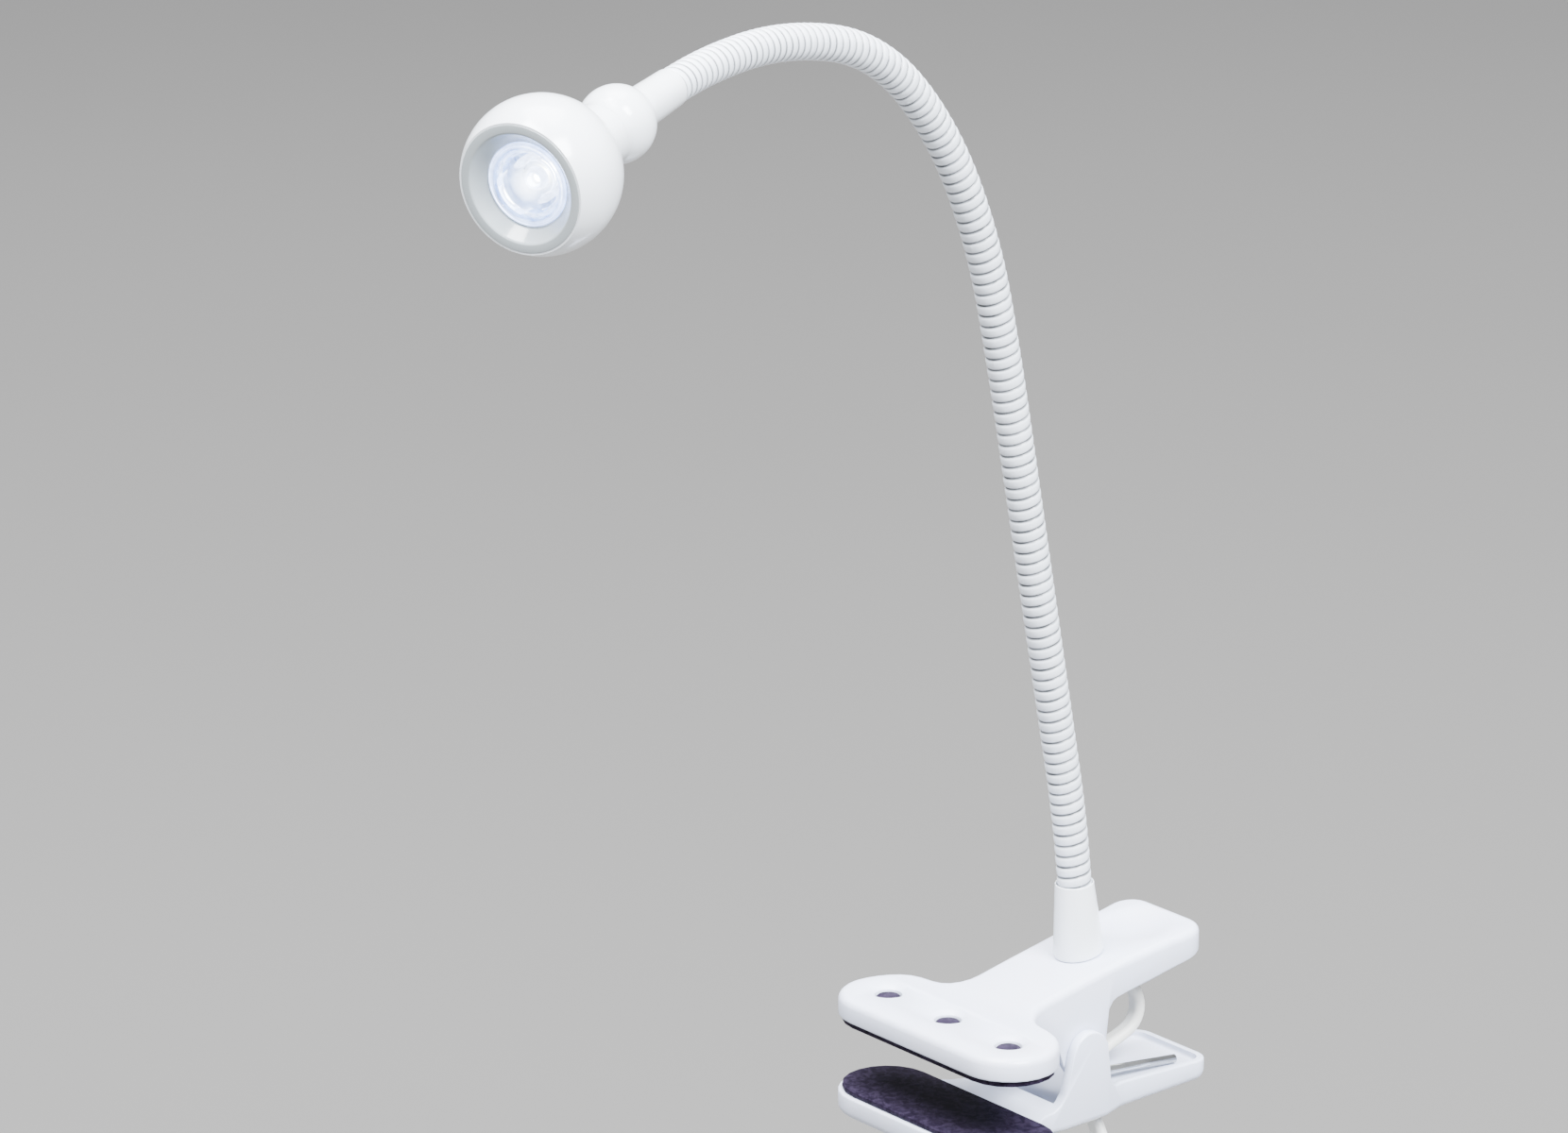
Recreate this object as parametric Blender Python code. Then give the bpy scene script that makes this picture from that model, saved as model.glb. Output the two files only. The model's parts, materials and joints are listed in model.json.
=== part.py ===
"""Clip-on reading lamp, in metres, +Z up.

The origin is on the upper pad's contact face, under the middle hole of the jaw. +X runs along the edge
of the board that the lamp is clipped to, and +Y runs back, away from the board, to the handles.
"""

from math import acos, asin, atan, atan2, cos, degrees, hypot, pi, radians, sin, sqrt, tan

import bmesh
import bpy
from mathutils import Matrix, Vector

GAP = 0.0003  # between pieces that touch in the real lamp
RUN = 0.0003  # radial room of a pin or a spigot in its hole

# Clip
BOARD = 0.020  # thickness of the board between the pads
PAD = 0.0014
PAD_INSET = 0.0012
JAW_PLATE = 0.0068
LOBE_RADIUS = 0.0148
LOBE_SPREAD = 0.0272  # from the middle hole to an outer one
LOBE_SWEEP = 84
JAW_FILLET = 0.009
HOLE_RADIUS = 0.0041
DISH_RADIUS = 0.0063
DISH_DEPTH = 0.0011
PLUG_HEIGHT = 0.0054
ARM_HALF = 0.01575
HANDLE_HALF = 0.0176
UPPER_END = 0.086
UPPER_CORNER = 0.0075
WALL = 0.002
TOP_WALL = 0.0022
RISE_START = 0.002
RISE_FULL = 0.018
RISE_FRONT = 0.235
RISE_REAR = 0.13
SKIRT_FRONT = 0.0102
SKIRT_REAR = 0.0076
EDGE_ROUND = 0.0023
SMALL_ROUND = 0.0006
CORE_START = 0.021
ROUND_STEPS = 3
STATION = 0.0016  # between the outline's points where its edges curve
THUMB_DISH = (0.0725, 0.0115, 0.0016)  # centre Y, radius, depth

# Pivot, spring and lower handle
PIVOT_Y = 0.039
PIVOT_Z = -0.0067
PIN_RADIUS = 0.002
EAR_RADIUS = 0.0085
LOWER_EAR_RADIUS = 0.0067
EAR_WALL = 0.0032
EAR_SIDE_GAP = 0.00035
PIN_BLIND = 0.002
LOWER_HALF = 0.0168
LOWER_END = 0.0888
LOWER_CORNER = 0.006
LOWER_WALL = 0.0022
RIM_FRONT = -0.0195
RIM_REAR = -0.0203
KEEL_FRONT = -0.0290
KEEL_REAR = -0.0263
WIRE = 0.0027
COIL_RADIUS = 0.0052
COIL_HALF = 0.0098
COIL_TURNS = 6
LEG_UPPER_END = 0.0785
LEG_LOWER_END = 0.0798
LEG_KNEE = (0.0515, 0.0018)  # Y, height over the rim's front end
LEG_DROP = 0.0003  # of the lower leg's end below the rim's rear end

# Neck
FERRULE_Y = 0.050
NECK_LEAN = 5
FERRULE_HEIGHT = 0.0222
NECK_START = 0.0194  # above the arm, where the neck's first bend begins
FERRULE_FOOT_WALL = 0.0022
FERRULE_RIM_WALL = 0.00045
HOSE = 0.010
HOSE_BORE = 0.006
LINK = 0.03815
BENDS = (
    (7.7, 2.7), (0, 0), (0, 0), (0, 0), (2.6, 1.0),
    (9.6, -1.75), (19.0, 4.6), (30.9, 6.6), (13.6, 8.05), (6.05, 7.75),
)  # of each link, forwards and sideways, in degrees
JOINT_LIMIT = 20
HOSE_IN_FERRULE = 0.013
LINK_STATIONS = 4
LINK_SIDES = 14
STUD = 0.008
STUD_BORE = 0.004
WASHER = 0.0136
WASHER_THICK = 0.001
NUT_FLATS = 0.013
NUT_THICK = 0.0034

# Head, along its own axis: 0 at the centre of the large ball, + towards the light
BALL = 0.0209
SHELL = 0.0018
FRONT = 0.0111
WAIST = 0.0085
REAR_BALL = 0.0105
REAR_BALL_Z = -0.0386
SEAM = -0.0296
COLLAR_END = -0.0665
COLLAR_FRONT = 0.0059
COLLAR_OVER_HOSE = 0.00035  # how far the collar's end stands out over the hose
BEZEL_SKIRT = 0.0058
LENS_RADIUS = 0.0111
LENS_FACE = 0.0078
LENS_FLANGE = 0.0014
LENS_FOOT = 0.0042
HOLDER_WALL = 0.0008
BOARD_RADIUS = 0.0104
BOARD_Z = -0.0052
BOARD_THICK = 0.0014
CHIP = 0.0034
SINK_RADIUS = 0.0138
SINK_THICK = 0.0046
SINK_STUD = 0.0045
SINK_BORE = 0.0026
SCREW_CIRCLE = 0.0061
SCREW = 0.001
SCREW_HEAD = 0.0015
LEAD = 0.0012
LEAD_CIRCLE = 0.0048

# Cord: a flat twin lead, 1.8 m from the bush under the arm to the plug
CORD_TUBE = 0.0044
COIL_MEAN = 0.032
COIL_SECTION = 0.0084
COIL_CENTRE = Vector((0.0, 0.057, -0.0915))
TIE_WIDTH = 0.006
TIE_THICK = 0.0011
BUSH = 0.0100
BUSH_HEIGHT = 0.0075
BUSH_SPOUT = 0.0032
BUSH_SPOUT_LENGTH = 0.0028
CORD_HOLE = (0.0541, 0.0038, 0.0032)  # centre Y, half width, half length of the slot in the lower handle
SWITCH = Vector((0.019, 0.013, 0.056))
SWITCH_WALL = 0.0017
SWITCH_TOP = Vector((0.0132, 0.0732, -0.0713))
ROCKER_HALF = 0.0046
ROCKER_LENGTH = 0.0073
ROCKER_PROUD = 0.0014
ROCKER_DEEP = 0.0030
ROCKER_REST = 6
PLUG = Vector((0.036, 0.026, 0.050))
PLUG_WALL = 0.002
PLUG_LID = 0.004
PLUG_PIN = 0.002
PLUG_PIN_OUT = 0.019
PLUG_PIN_IN = 0.006
PLUG_PIN_SPREAD = 0.0095
RELIEF = (0.0034, 0.0048, 0.021)  # radius at the cord, at the plug, length
END_LENGTH = 0.0075
CIRCUIT_BOARD = 0.0016
TRANSFORMER = Vector((0.015, 0.011, 0.018))

LOOP_ROUTE = (
    (0.0, 0.0591, 0.0061), (0.0, 0.0638, 0.0062), (0.0003, 0.0680, 0.0045), (0.0006, 0.0710, 0.0014),
    (0.0008, 0.0725, -0.0028), (0.0009, 0.0722, -0.0070),
    (0.0008, 0.0696, -0.0106), (0.0006, 0.0654, -0.0128),
    (0.0004, 0.0608, -0.0146), (0.0002, 0.0568, -0.0176), (0.0, 0.0546, -0.0220), (0.0, 0.0541, -0.0262),
)
LEAD_ROUTE = (
    (0.0, 0.0541, -0.0268), (0.0004, 0.0542, -0.0300), (0.0025, 0.0542, -0.0345), (0.0056, 0.0540, -0.0390),
    (0.0088, 0.0535, -0.0436), (0.0118, 0.0529, -0.0484), (0.0140, 0.0525, -0.0518),
)
TAIL_ROUTE = (
    (0.0060, 0.0682, -0.0560), (0.0086, 0.0690, -0.0575), (0.0116, 0.0710, -0.0615),
    (0.0129, 0.0727, -0.0664), (0.0132, 0.0732, -0.0710),
)


def material(name, colour, roughness, metallic=0.0, alpha=1.0):
    made = bpy.data.materials.new(name)
    made.use_nodes = True
    shader = made.node_tree.nodes["Principled BSDF"]
    shader.inputs["Base Color"].default_value = (*colour, 1.0)
    shader.inputs["Roughness"].default_value = roughness
    shader.inputs["Metallic"].default_value = metallic
    shader.inputs["Alpha"].default_value = alpha
    return made


def finish(obj, finish_material, parent=None):
    obj.data.materials.append(finish_material)
    obj.parent = parent
    return obj


def solid(name, points, faces, finish_material, parent=None, flat=40):
    """An object from points and faces, smooth except at edges sharper than `flat` degrees."""
    mesh = bpy.data.meshes.new(name)
    mesh.from_pydata([tuple(point) for point in points], [], faces)
    shape = bmesh.new()
    shape.from_mesh(mesh)
    bmesh.ops.remove_doubles(shape, verts=shape.verts, dist=1e-7)
    bmesh.ops.recalc_face_normals(shape, faces=shape.faces)
    shape.to_mesh(mesh)
    shape.free()
    mesh.shade_smooth()
    mesh.set_sharp_from_angle(angle=radians(flat))
    obj = bpy.data.objects.new(name, mesh)
    bpy.context.scene.collection.objects.link(obj)
    return finish(obj, finish_material, parent)


def empty(name, matrix):
    made = bpy.data.objects.new(name, None)
    made.empty_display_size = 0.01
    made.matrix_world = matrix
    bpy.context.scene.collection.objects.link(made)
    return made


def joined_rings(rings, closed=True):
    """Faces between neighbouring rings, and from the last to the first when closed, or else end caps."""
    count = len(rings[0])
    points = [point for ring in rings for point in ring]
    faces = []
    for k in range(len(rings) - (0 if closed else 1)):
        a, b = k * count, (k + 1) % len(rings) * count
        faces += [(a + i, a + (i + 1) % count, b + (i + 1) % count, b + i) for i in range(count)]
    if not closed:
        faces += [tuple(range(count)), tuple(range(len(points) - count, len(points)))]
    return points, faces


def turned(name, profile, finish_material, parent=None, sides=24, start=0.0):
    """A closed outline of (radius, z) turned about Z. A radius of 0 makes a pole."""
    turns = [start + 2 * pi * i / sides for i in range(sides)]
    points, rows = [], []
    for radius, z in profile:
        ring = turns if radius else [0.0]
        rows.append(range(len(points), len(points) + len(ring)))
        points += [(radius * cos(turn), radius * sin(turn), z) for turn in ring]
    faces = []
    for row, other in zip(rows, rows[1:] + rows[:1]):
        for i in range(sides):
            corners = [row[i % len(row)], row[(i + 1) % len(row)]]
            corners += [other[(i + 1) % len(other)], other[i % len(other)]]
            face = tuple(dict.fromkeys(corners))
            if len(face) > 2:
                faces.append(face)
    return solid(name, points, faces, finish_material, parent)


def arc(centre, radius, first, last, steps):
    """Points (across, along) of an arc, from one angle in degrees to another."""
    turns = [radians(first + (last - first) * k / steps) for k in range(steps + 1)]
    return [(centre[0] + radius * cos(turn), centre[1] + radius * sin(turn)) for turn in turns]


def prism(name, outline, low, high, finish_material, parent=None):
    """An outline in the XY plane, extruded from low to high."""
    rings = [[(x, y, z) for x, y in outline] for z in (low, high)]
    return solid(name, *joined_rings(rings, closed=False), finish_material, parent)


def box(name, size, centre, finish_material, parent=None, rounding=0.0):
    half = Vector(size) / 2
    outline = [(-half.x, -half.y), (half.x, -half.y), (half.x, half.y), (-half.x, half.y)]
    made = prism(name, outline, -half.z, half.z, finish_material, parent)
    made.location = centre
    if rounding:
        bevel = made.modifiers.new("rounding", "BEVEL")
        bevel.width = rounding
        bevel.segments = 2
    return made


def cut(target, cutter, operation="DIFFERENCE"):
    cutter.hide_render = True
    cutter.display_type = "WIRE"
    boolean = target.modifiers.new(cutter.name, "BOOLEAN")
    boolean.operation = operation
    boolean.object = cutter
    return target


def smooth_route(route, step):
    """Points about `step` apart on a smooth curve through the route's points."""
    knots = [Vector(point) for point in route]
    ends = [knots[0] * 2 - knots[1]] + knots + [knots[-1] * 2 - knots[-2]]
    points = []
    for before, a, b, after in zip(ends, ends[1:], ends[2:], ends[3:]):
        count = max(1, round((b - a).length / step))
        for k in range(count):
            t = k / count
            points.append(
                0.5 * (2 * a + (b - before) * t + (2 * before - 5 * a + 4 * b - after) * t**2
                       + (3 * a - before - 3 * b + after) * t**3)
            )
    return points + [knots[-1]]


def tube(name, points, diameter, finish_material, parent=None, resolution=2):
    curve = bpy.data.curves.new(name, "CURVE")
    curve.dimensions = "3D"
    curve.bevel_depth = diameter / 2
    curve.bevel_resolution = resolution
    curve.use_fill_caps = True
    spline = curve.splines.new("POLY")
    spline.points.add(len(points) - 1)
    for knot, point in zip(spline.points, points):
        knot.co = (*point, 1)
    obj = bpy.data.objects.new(name, curve)
    bpy.context.scene.collection.objects.link(obj)
    return finish(obj, finish_material, parent)


def between(value, low, high):
    return min(1.0, max(0.0, (value - low) / (high - low)))


def along(points, y):
    """Height at y on the line through (y, height) points."""
    for (y0, z0), (y1, z1) in zip(points, points[1:]):
        if y <= y1:
            return z0 + (z1 - z0) * between(y, y0, y1)
    return points[-1][1]


def body(name, side, low, high, low_round, high_round, finish_material, parent=None):
    """A body mirrored in X, from its right-hand outline as (x, y) from front to back.

    `low` and `high` give its heights at a y. Its lower and upper edges are rounded.
    """
    inward = []
    for k, point in enumerate(side):
        before = side[k - 1] if k else (0.0, point[1])
        after = side[k + 1] if k + 1 < len(side) else (0.0, point[1])
        entering = Vector((point[0] - before[0], point[1] - before[1])).normalized()
        leaving = Vector((after[0] - point[0], after[1] - point[1])).normalized()
        turn = (entering + leaving).normalized()
        inward.append(Vector((-turn.y, turn.x)) / max(0.4, turn.dot(leaving)))

    def ring(inset, height, lift):
        right = [Vector(point) + normal * inset for point, normal in zip(side, inward)]
        loop = right + [Vector((-point.x, point.y)) for point in reversed(right)]
        return [(point.x, point.y, height(point.y) + lift) for point in loop]

    turns = [pi / 2 * k / ROUND_STEPS for k in range(ROUND_STEPS + 1)]
    rings = [ring(low_round * (1 - sin(turn)), low, low_round * (1 - cos(turn))) for turn in turns]
    rings += [ring(high_round * (1 - cos(turn)), high, high_round * (sin(turn) - 1)) for turn in turns]
    points, faces = joined_rings(rings, closed=False)
    faces = faces[:-2]
    count = 2 * len(side)
    for base in (0, len(points) - count):
        for k in range(len(side) - 1):
            faces.append((base + k, base + k + 1, base + count - 2 - k, base + count - 1 - k))
    return solid(name, points, faces, finish_material, parent, flat=30)


# Shapes that several pieces share

def upper_top(y):
    """Height of the upper jaw's top: flat over the jaw, then rising along the arm."""
    ramp = RISE_FULL - RISE_START
    height = PAD + GAP + JAW_PLATE + RISE_FRONT * ramp * between(y, RISE_START, RISE_FULL) ** 2 / 2
    past = max(0.0, y - RISE_FULL)
    return height + RISE_FRONT * past - (RISE_FRONT - RISE_REAR) / (UPPER_END - RISE_FULL) * past**2 / 2


def upper_slope(y):
    """Angle of the arm's top at y, in radians."""
    return atan((upper_top(y + 0.001) - upper_top(y - 0.001)) / 0.002)


def upper_low(y):
    """Lower edge of the upper jaw: the jaw's underside, the ear round the pivot, then the skirt."""
    jaw = PAD + GAP
    edge = [(-1.0, jaw), (0.0235, jaw), (0.0270, jaw - 0.0025)]
    edge += arc((PIVOT_Y, PIVOT_Z), EAR_RADIUS, 182, 358, 10)
    edge += [(PIVOT_Y + EAR_RADIUS + 0.0008, jaw + 0.0015), (PIVOT_Y + EAR_RADIUS + 0.0030, jaw + 0.0048)]
    edge += [(0.0560, upper_top(0.0560) - SKIRT_FRONT), (0.0640, upper_top(0.0640) - SKIRT_FRONT + 0.0002)]
    edge += [(UPPER_END, upper_top(UPPER_END) - SKIRT_REAR)]
    return along(edge, y)


def lower_jaw_face():
    return -BOARD - PAD - GAP


def lower_high(y):
    """Upper edge of the lower jaw: the jaw's pad side, the ear round the pivot, then the rim."""
    jaw = lower_jaw_face()
    edge = [(-1.0, jaw), (0.0250, jaw), (0.0290, jaw + 0.0030)]
    edge += arc((PIVOT_Y, PIVOT_Z), LOWER_EAR_RADIUS, 178, 2, 10)
    edge += [(PIVOT_Y + LOWER_EAR_RADIUS + 0.0008, RIM_FRONT + 0.0040)]
    edge += [(tray_start(), RIM_FRONT), (LOWER_END, RIM_REAR)]
    return along(edge, y)


def lower_low(y):
    jaw = lower_jaw_face() - JAW_PLATE
    return along([(-1.0, jaw), (0.0200, jaw), (0.0300, KEEL_FRONT), (LOWER_END, KEEL_REAR)], y)


def tray_start():
    return PIVOT_Y + LOWER_EAR_RADIUS + 0.0034


def tray_floor(y):
    """Floor inside the lower jaw: deep round the coil, then a shallow tray that the spring's leg rests in."""
    rest = RIM_REAR - LEG_DROP - WIRE / 2 - GAP
    deep = KEEL_FRONT + LOWER_WALL
    edge = [(-1.0, deep), (tray_start() - 0.001, deep), (tray_start() + 0.003, rest + RIM_FRONT - RIM_REAR)]
    return along(edge + [(LOWER_END, rest)], y)


def jaw_side(half_at, end, corner):
    """Right-hand outline of a jaw with three lobes, arm and handle. half_at gives the arm's half width."""
    slant = radians(90 - LOBE_SWEEP)
    side = arc((LOBE_SPREAD, 0.0), LOBE_RADIUS, -90, LOBE_SWEEP, 12)
    neck = half_at(0.0) + JAW_FILLET * (1 - sin(slant))
    corner_y = side[-1][1] + (side[-1][0] - neck) * tan(slant)
    centre = (neck + JAW_FILLET * sin(slant), corner_y + JAW_FILLET * cos(slant))
    side += arc(centre, JAW_FILLET, 270 - degrees(slant), 180, 5)
    start = centre[1] + 0.0008
    ear_end = PIVOT_Y + EAR_RADIUS + 0.0105
    count = round((ear_end - start) / STATION)
    side += [(half_at(y), y) for y in (start + (ear_end - start) * k / count for k in range(count + 1))]
    side += [(half_at(y), y) for y in (ear_end + 0.006, ear_end + 0.012)]
    return side + arc((half_at(end) - corner, end - corner), corner, 0, 90, 5)


def upper_half(y):
    return ARM_HALF + (HANDLE_HALF - ARM_HALF) * between(y, FERRULE_Y, UPPER_END)


def lower_half(y):
    ears = ARM_HALF + EAR_SIDE_GAP + EAR_WALL
    return ears + (LOWER_HALF - ears) * between(y, PIVOT_Y + LOWER_EAR_RADIUS,
                                                PIVOT_Y + LOWER_EAR_RADIUS + 0.008)


def ferrule_frame():
    """Frame of the boss on the arm: Z along the lowest part of the neck."""
    foot = Vector((0.0, FERRULE_Y, upper_top(FERRULE_Y) + GAP))
    return Matrix.Translation(foot) @ Matrix.Rotation(radians(NECK_LEAN), 4, "X")


def neck_frame(length):
    """Frame on the neck's centre line: Z along it, X to its right. Length 0 is inside the ferrule."""
    frame = ferrule_frame() @ Matrix.Translation((0, 0, NECK_START + min(0.0, length)))
    up = Vector((0, 0, 1))
    for down, aside in BENDS:
        part = min(length, LINK)
        if part <= 0:
            break
        length -= part
        turn = radians(hypot(down, aside)) * part / LINK
        if turn < 1e-6:
            frame = frame @ Matrix.Translation(up * part)
            continue
        axis = Vector((down, aside, 0)).normalized()
        shift = (axis.cross(up) * (1 - cos(turn)) + up * sin(turn)) * part / turn
        frame = frame @ Matrix.Translation(shift) @ Matrix.Rotation(turn, 4, axis)
    return frame


def head_frame():
    return neck_frame(LINK * len(BENDS)) @ Matrix.Translation((0, 0, -COLLAR_END))


def on_sphere(radius, z):
    return sqrt(radius**2 - z**2)


def ball_profile(radius, first, last, steps, centre=0.0):
    """(radius, z) points on a ball, between two heights above its centre."""
    a, b = acos(first / radius), acos(last / radius)
    turns = [a + (b - a) * k / steps for k in range(steps + 1)]
    return [(radius * sin(turn), centre + radius * cos(turn)) for turn in turns]


# The clip

def jaw_holes(jaw, face, outward, finish_material):
    """Three dished holes through a jaw plate, whose outer face is at `face`."""
    for k in (-1, 0, 1):
        reach = JAW_PLATE * 1.5
        profile = [(0, face - outward * reach), (HOLE_RADIUS, face - outward * reach)]
        profile += [(HOLE_RADIUS, face - outward * DISH_DEPTH)]
        profile += [((HOLE_RADIUS + DISH_RADIUS) / 2, face - outward * DISH_DEPTH * 0.35)]
        profile += [(DISH_RADIUS, face + outward * 0.0001), (DISH_RADIUS, face + outward * 0.002)]
        cutter = turned(f"{jaw.name}_hole_{k + 2}", profile + [(0, face + outward * 0.002)],
                        finish_material, sides=24)
        cutter.location = (k * LOBE_SPREAD, 0, 0)
        cut(jaw, cutter)


def pivot_hole(jaw, reach, finish_material):
    radius = PIN_RADIUS + RUN
    cutter = turned(f"{jaw.name}_pivot", [(0, reach), (radius, reach), (radius, -reach), (0, -reach)],
                    finish_material, sides=16)
    cutter.rotation_euler = (0, pi / 2, 0)
    cutter.location = (0, PIVOT_Y, PIVOT_Z)
    cut(jaw, cutter)


def make_upper_jaw(plastic):
    side = jaw_side(upper_half, UPPER_END, UPPER_CORNER)
    jaw = body("upper_jaw", side, upper_low, upper_top, SMALL_ROUND, EDGE_ROUND, plastic)
    back = UPPER_END - WALL
    inner = [(upper_half(y) - WALL, y) for y in (CORE_START, FERRULE_Y, (FERRULE_Y + back) / 2)]
    inner += arc((upper_half(back) - WALL - UPPER_CORNER + WALL, back - UPPER_CORNER + WALL),
                 UPPER_CORNER - WALL, 0, 90, 4)
    core = body("upper_core", inner, lambda y: -0.05, lambda y: upper_top(y) - TOP_WALL, 0.001, 0.001,
                plastic)
    cut(jaw, core)
    jaw_holes(jaw, PAD + GAP + JAW_PLATE, 1, plastic)
    pivot_hole(jaw, ARM_HALF + 0.002, plastic)
    y, half, depth = THUMB_DISH
    radius = (half**2 + depth**2) / (2 * depth)
    profile = [(0, -depth)] + [(radius * sin(turn), radius * (1 - cos(turn)) - depth)
                               for turn in (asin(half / radius) * k / 6 for k in range(1, 8))]
    dish = turned("thumb_dish", profile + [(profile[-1][0], 0.003), (0, 0.003)], plastic, sides=28)
    dish.location = (0, y, upper_top(y))
    dish.rotation_euler = (upper_slope(y), 0, 0)
    cut(jaw, dish)
    radius = STUD / 2 + RUN
    hole = turned("stud_hole", [(0, 0.01), (radius, 0.01), (radius, -0.01), (0, -0.01)], plastic, sides=20)
    hole.matrix_world = ferrule_frame()
    cut(jaw, hole)
    return jaw


def make_pad(name, face, towards_jaw, rubber):
    """A pad with three plugs that fill the jaw's holes from below. `towards_jaw` is 1 or -1 along Z."""
    radius = LOBE_RADIUS - PAD_INSET
    outline = arc((LOBE_SPREAD, 0), radius, -90, 90, 10) + arc((-LOBE_SPREAD, 0), radius, 90, 270, 10)
    low, high = sorted((face, face + towards_jaw * PAD))
    pad = prism(name, outline, low, high, rubber)
    for k in (-1, 0, 1):
        plug = HOLE_RADIUS - RUN
        foot, head = face + towards_jaw * PAD / 2, face + towards_jaw * (PAD + GAP + PLUG_HEIGHT)
        profile = [(0, foot), (plug, foot), (plug, head - towards_jaw * 0.0006), (plug * 0.85, head),
                   (0, head)]
        stem = turned(f"{name}_plug_{k + 2}", profile, rubber, sides=20)
        stem.location = (k * LOBE_SPREAD, 0, 0)
        cut(pad, stem, "UNION")
    return pad


def make_lower_jaw(plastic):
    side = jaw_side(lower_half, LOWER_END, LOWER_CORNER)
    jaw = body("lower_jaw", side, lower_low, lower_high, EDGE_ROUND, SMALL_ROUND, plastic)
    back = LOWER_END - LOWER_WALL
    inner = [(lower_half(PIVOT_Y) - EAR_WALL, y) for y in (CORE_START + 0.006, PIVOT_Y + LOWER_EAR_RADIUS)]
    inner += [(LOWER_HALF - LOWER_WALL, PIVOT_Y + LOWER_EAR_RADIUS + 0.009)]
    radius = LOWER_CORNER - LOWER_WALL
    inner += arc((LOWER_HALF - LOWER_WALL - radius, back - radius), radius, 0, 90, 4)
    core = body("lower_core", inner, tray_floor, lambda y: 0.03, 0.001, 0.001, plastic)
    cut(jaw, core)
    front = tray_start() + 0.003 + LOWER_WALL
    under = [(LOWER_HALF - LOWER_WALL, front)] + inner[3:]
    hollow = body("lower_hollow", under, lambda y: -0.05, lambda y: tray_floor(y) - LOWER_WALL,
                  0.001, 0.001, plastic)
    cut(jaw, hollow)
    jaw_holes(jaw, lower_jaw_face() - JAW_PLATE, -1, plastic)
    pivot_hole(jaw, lower_half(PIVOT_Y) - EAR_WALL + PIN_BLIND + RUN, plastic)
    y, half_x, half_y = CORD_HOLE
    slot = box("cord_slot", (half_x * 2, half_y * 2, 0.024), (0, y, tray_floor(y)), plastic, rounding=0.001)
    cut(jaw, slot)
    return jaw


def wire_route():
    """Centre line of the torsion spring: upper leg, coil round the pin, lower leg."""
    upper = Vector((LEG_UPPER_END, upper_top(LEG_UPPER_END) - TOP_WALL - WIRE / 2 - GAP))
    knee = Vector((LEG_KNEE[0], RIM_FRONT + LEG_KNEE[1]))
    rest = Vector((LEG_LOWER_END, RIM_REAR - LEG_DROP))
    pivot = Vector((PIVOT_Y, PIVOT_Z))

    def leave(target, sign):
        """Angle on the coil where a leg towards target leaves it, on its upper (1) or lower (-1) side."""
        arm = target - pivot
        return atan2(arm.y, arm.x) + sign * acos(COIL_RADIUS / arm.length)

    first, last = leave(upper, 1), leave(knee, -1) + 2 * pi * (COIL_TURNS + 1)
    count = round((last - first) / (2 * pi) * 12)
    coil = []
    for k in range(count + 1):
        turn = first + (last - first) * k / count
        x = -COIL_HALF + 2 * COIL_HALF * k / count
        coil.append(Vector((x, PIVOT_Y + COIL_RADIUS * cos(turn), PIVOT_Z + COIL_RADIUS * sin(turn))))
    leg = [Vector((-COIL_HALF, upper.x, upper.y)).lerp(coil[0], t) for t in (0, 0.33, 0.66)]
    foot = [coil[-1].lerp(Vector((COIL_HALF, knee.x, knee.y)), t) for t in (0.45, 0.85)]
    foot += [Vector((COIL_HALF, *knee.lerp(rest, t))) for t in (0.05, 0.15)]
    foot += [Vector((COIL_HALF, rest.x, rest.y))]
    return leg + coil + foot


def make_pin(steel):
    reach = lower_half(PIVOT_Y) - EAR_WALL + PIN_BLIND - GAP
    profile = [(0, reach), (PIN_RADIUS - 0.0003, reach), (PIN_RADIUS, reach - 0.0003)]
    profile += [(PIN_RADIUS, 0.0003 - reach), (PIN_RADIUS - 0.0003, -reach), (0, -reach)]
    pin = turned("pivot_pin", profile, steel, sides=16)
    pin.rotation_euler = (0, pi / 2, 0)
    pin.location = (0, PIVOT_Y, PIVOT_Z)


# The neck and its fixings

def make_ferrule(paint, frame):
    """The sleeve over the foot of the neck. Its base follows the arm's slope."""
    bore = HOSE / 2 + RUN
    base, rim = bore + FERRULE_FOOT_WALL, bore + FERRULE_RIM_WALL
    profile = [(bore, 0), (base - 0.0005, 0), (base, 0.0007)]
    profile += [(rim, FERRULE_HEIGHT - 0.0003), (rim - 0.0002, FERRULE_HEIGHT)]
    ferrule = turned("ferrule", profile + [(bore, FERRULE_HEIGHT)], paint, frame, sides=28)
    slope = tan(upper_slope(FERRULE_Y) - radians(NECK_LEAN))
    for vertex in ferrule.data.vertices:
        vertex.co.z += vertex.co.y * slope * (1 - vertex.co.z / FERRULE_HEIGHT)


def hex_nut(name, flats, bore, low, high, steel, frame):
    nut = turned(name, [(0, high), (flats / sqrt(3), high), (flats / sqrt(3), low), (0, low)], steel, frame,
                 sides=6)
    hole = turned(f"{name}_hole", [(0, high + 0.001), (bore, high + 0.001), (bore, low - 0.001),
                                   (0, low - 0.001)],
                  steel, frame, sides=20)
    cut(nut, hole)


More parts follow.
